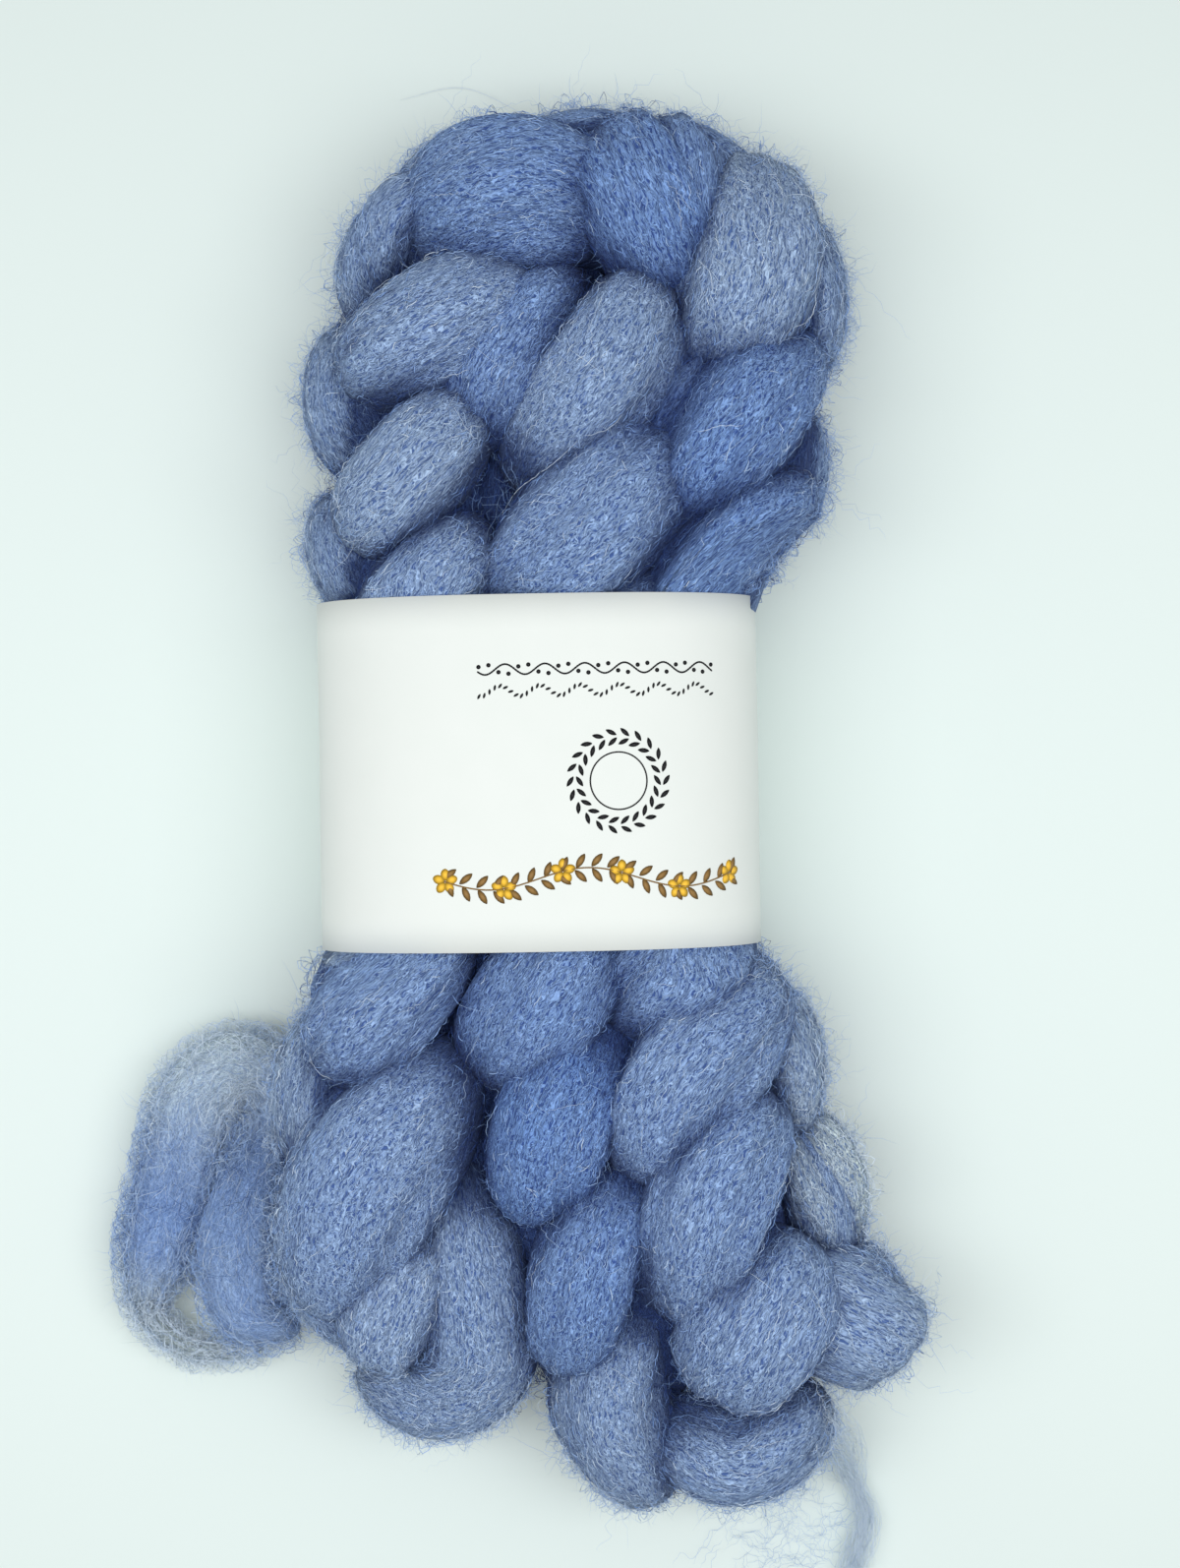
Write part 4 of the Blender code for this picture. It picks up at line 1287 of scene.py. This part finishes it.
ring = WREATH["middle"] + on_circle(np.linspace(0, 2 * math.pi, 90), WREATH["radius"] - 3.4)
black_marks = joined(
    marks_along(wavy(CHAIN, 110), 0.85, 0.42),
    marks_along(wavy(CHAIN, 25, phase=math.pi), 0.95, 0.95),
    marks_along(wavy(CHAIN, 46, lift=-4.6, phase=0.8), 1.3, 0.55, 0.9, 0.5),
    wreath_leaves(WREATH["radius"] + 0.9, -0.6),
    wreath_leaves(WREATH["radius"] - 1.1, 0.6),
    marks_along(ring, 0.75, 0.36),
)
brown_marks = joined(
    marks_along(wavy(GARLAND, 150), 0.8, 0.34),
    marks_along(wavy(GARLAND, 19, lift=1.6) + (1.0, 0), 3.6, 1.5, 0.9, 0.6),
    marks_along(wavy(GARLAND, 19, lift=-1.6) + (1.0, 0), 3.6, 1.5, -0.9, 0.6),
)
ink_marks("black_ornament", black_marks, (0.012, 0.012, 0.014, 1))
ink_marks("brown_leaves", brown_marks, (0.29, 0.165, 0.05, 1))
ink_marks("yellow_petals", petals(), (0.93, 0.55, 0.05, 1))
print(len(black_marks[0]) + len(brown_marks[0]) + PETALS * GARLAND["flowers"], "marks of ink")

# %% [markdown]
# ## Floor and light
# The hank lies on a pale table. A copying stand has a lamp on each side of the camera, so the
# shadows are soft and the table is a little darker above and below.

# %% Floor, world and lamps
FLOOR_HALF, FLOOR_HEIGHT = 1500.0, -0.1
FLOOR_COLOUR = (0.775, 0.868, 0.838, 1)
SKY_COLOUR, SKY_STRENGTH = (0.97, 0.99, 1.0, 1), 0.50
LAMP_POWER, LAMP_SIZE = 0.99, (0.6, 0.3)
LAMP_OUT, LAMP_ALONG, LAMP_UP = 0.27, -0.02, 0.72
LAMP_SPREAD = math.radians(120)


def add_floor():
    """One wide square just under the hank, painted pale, that isn't part of the object."""
    signs = ((-1, -1), (1, -1), (1, 1), (-1, 1))
    corners = [(x * FLOOR_HALF, y * FLOOR_HALF, FLOOR_HEIGHT) for x, y in signs]
    floor = bpy.data.objects.new("table_top", mesh_from("table_top", corners, ((0, 1, 2, 3),)))
    floor.data.materials.append(new_material("table_paint", 0.9, colour=FLOOR_COLOUR)[0])
    bpy.context.scene.collection.objects.link(floor)


def add_light():
    """Two broad lamps stand at the left and right, aimed at the hank, under an even sky."""
    world = bpy.data.worlds.new("soft_sky")
    world.use_nodes = True
    sky = world.node_tree.nodes["Background"]
    sky.inputs["Color"].default_value, sky.inputs["Strength"].default_value = SKY_COLOUR, SKY_STRENGTH
    bpy.context.scene.world = world
    for side in (-1, 1):
        lamp_data = bpy.data.lights.new("side_lamp", "AREA")
        lamp_data.shape = "RECTANGLE"
        lamp_data.size, lamp_data.size_y = LAMP_SIZE
        lamp_data.energy, lamp_data.spread = LAMP_POWER, LAMP_SPREAD
        lamp = bpy.data.objects.new("side_lamp", lamp_data)
        lamp.location = (side * LAMP_OUT, LAMP_ALONG, LAMP_UP)
        lamp.rotation_euler = (0, side * math.atan(LAMP_OUT / LAMP_UP), 0)
        lamp.visible_camera = False
        bpy.context.scene.collection.objects.link(lamp)
    bpy.context.scene.view_settings.view_transform = "Standard"


add_floor()
add_light()
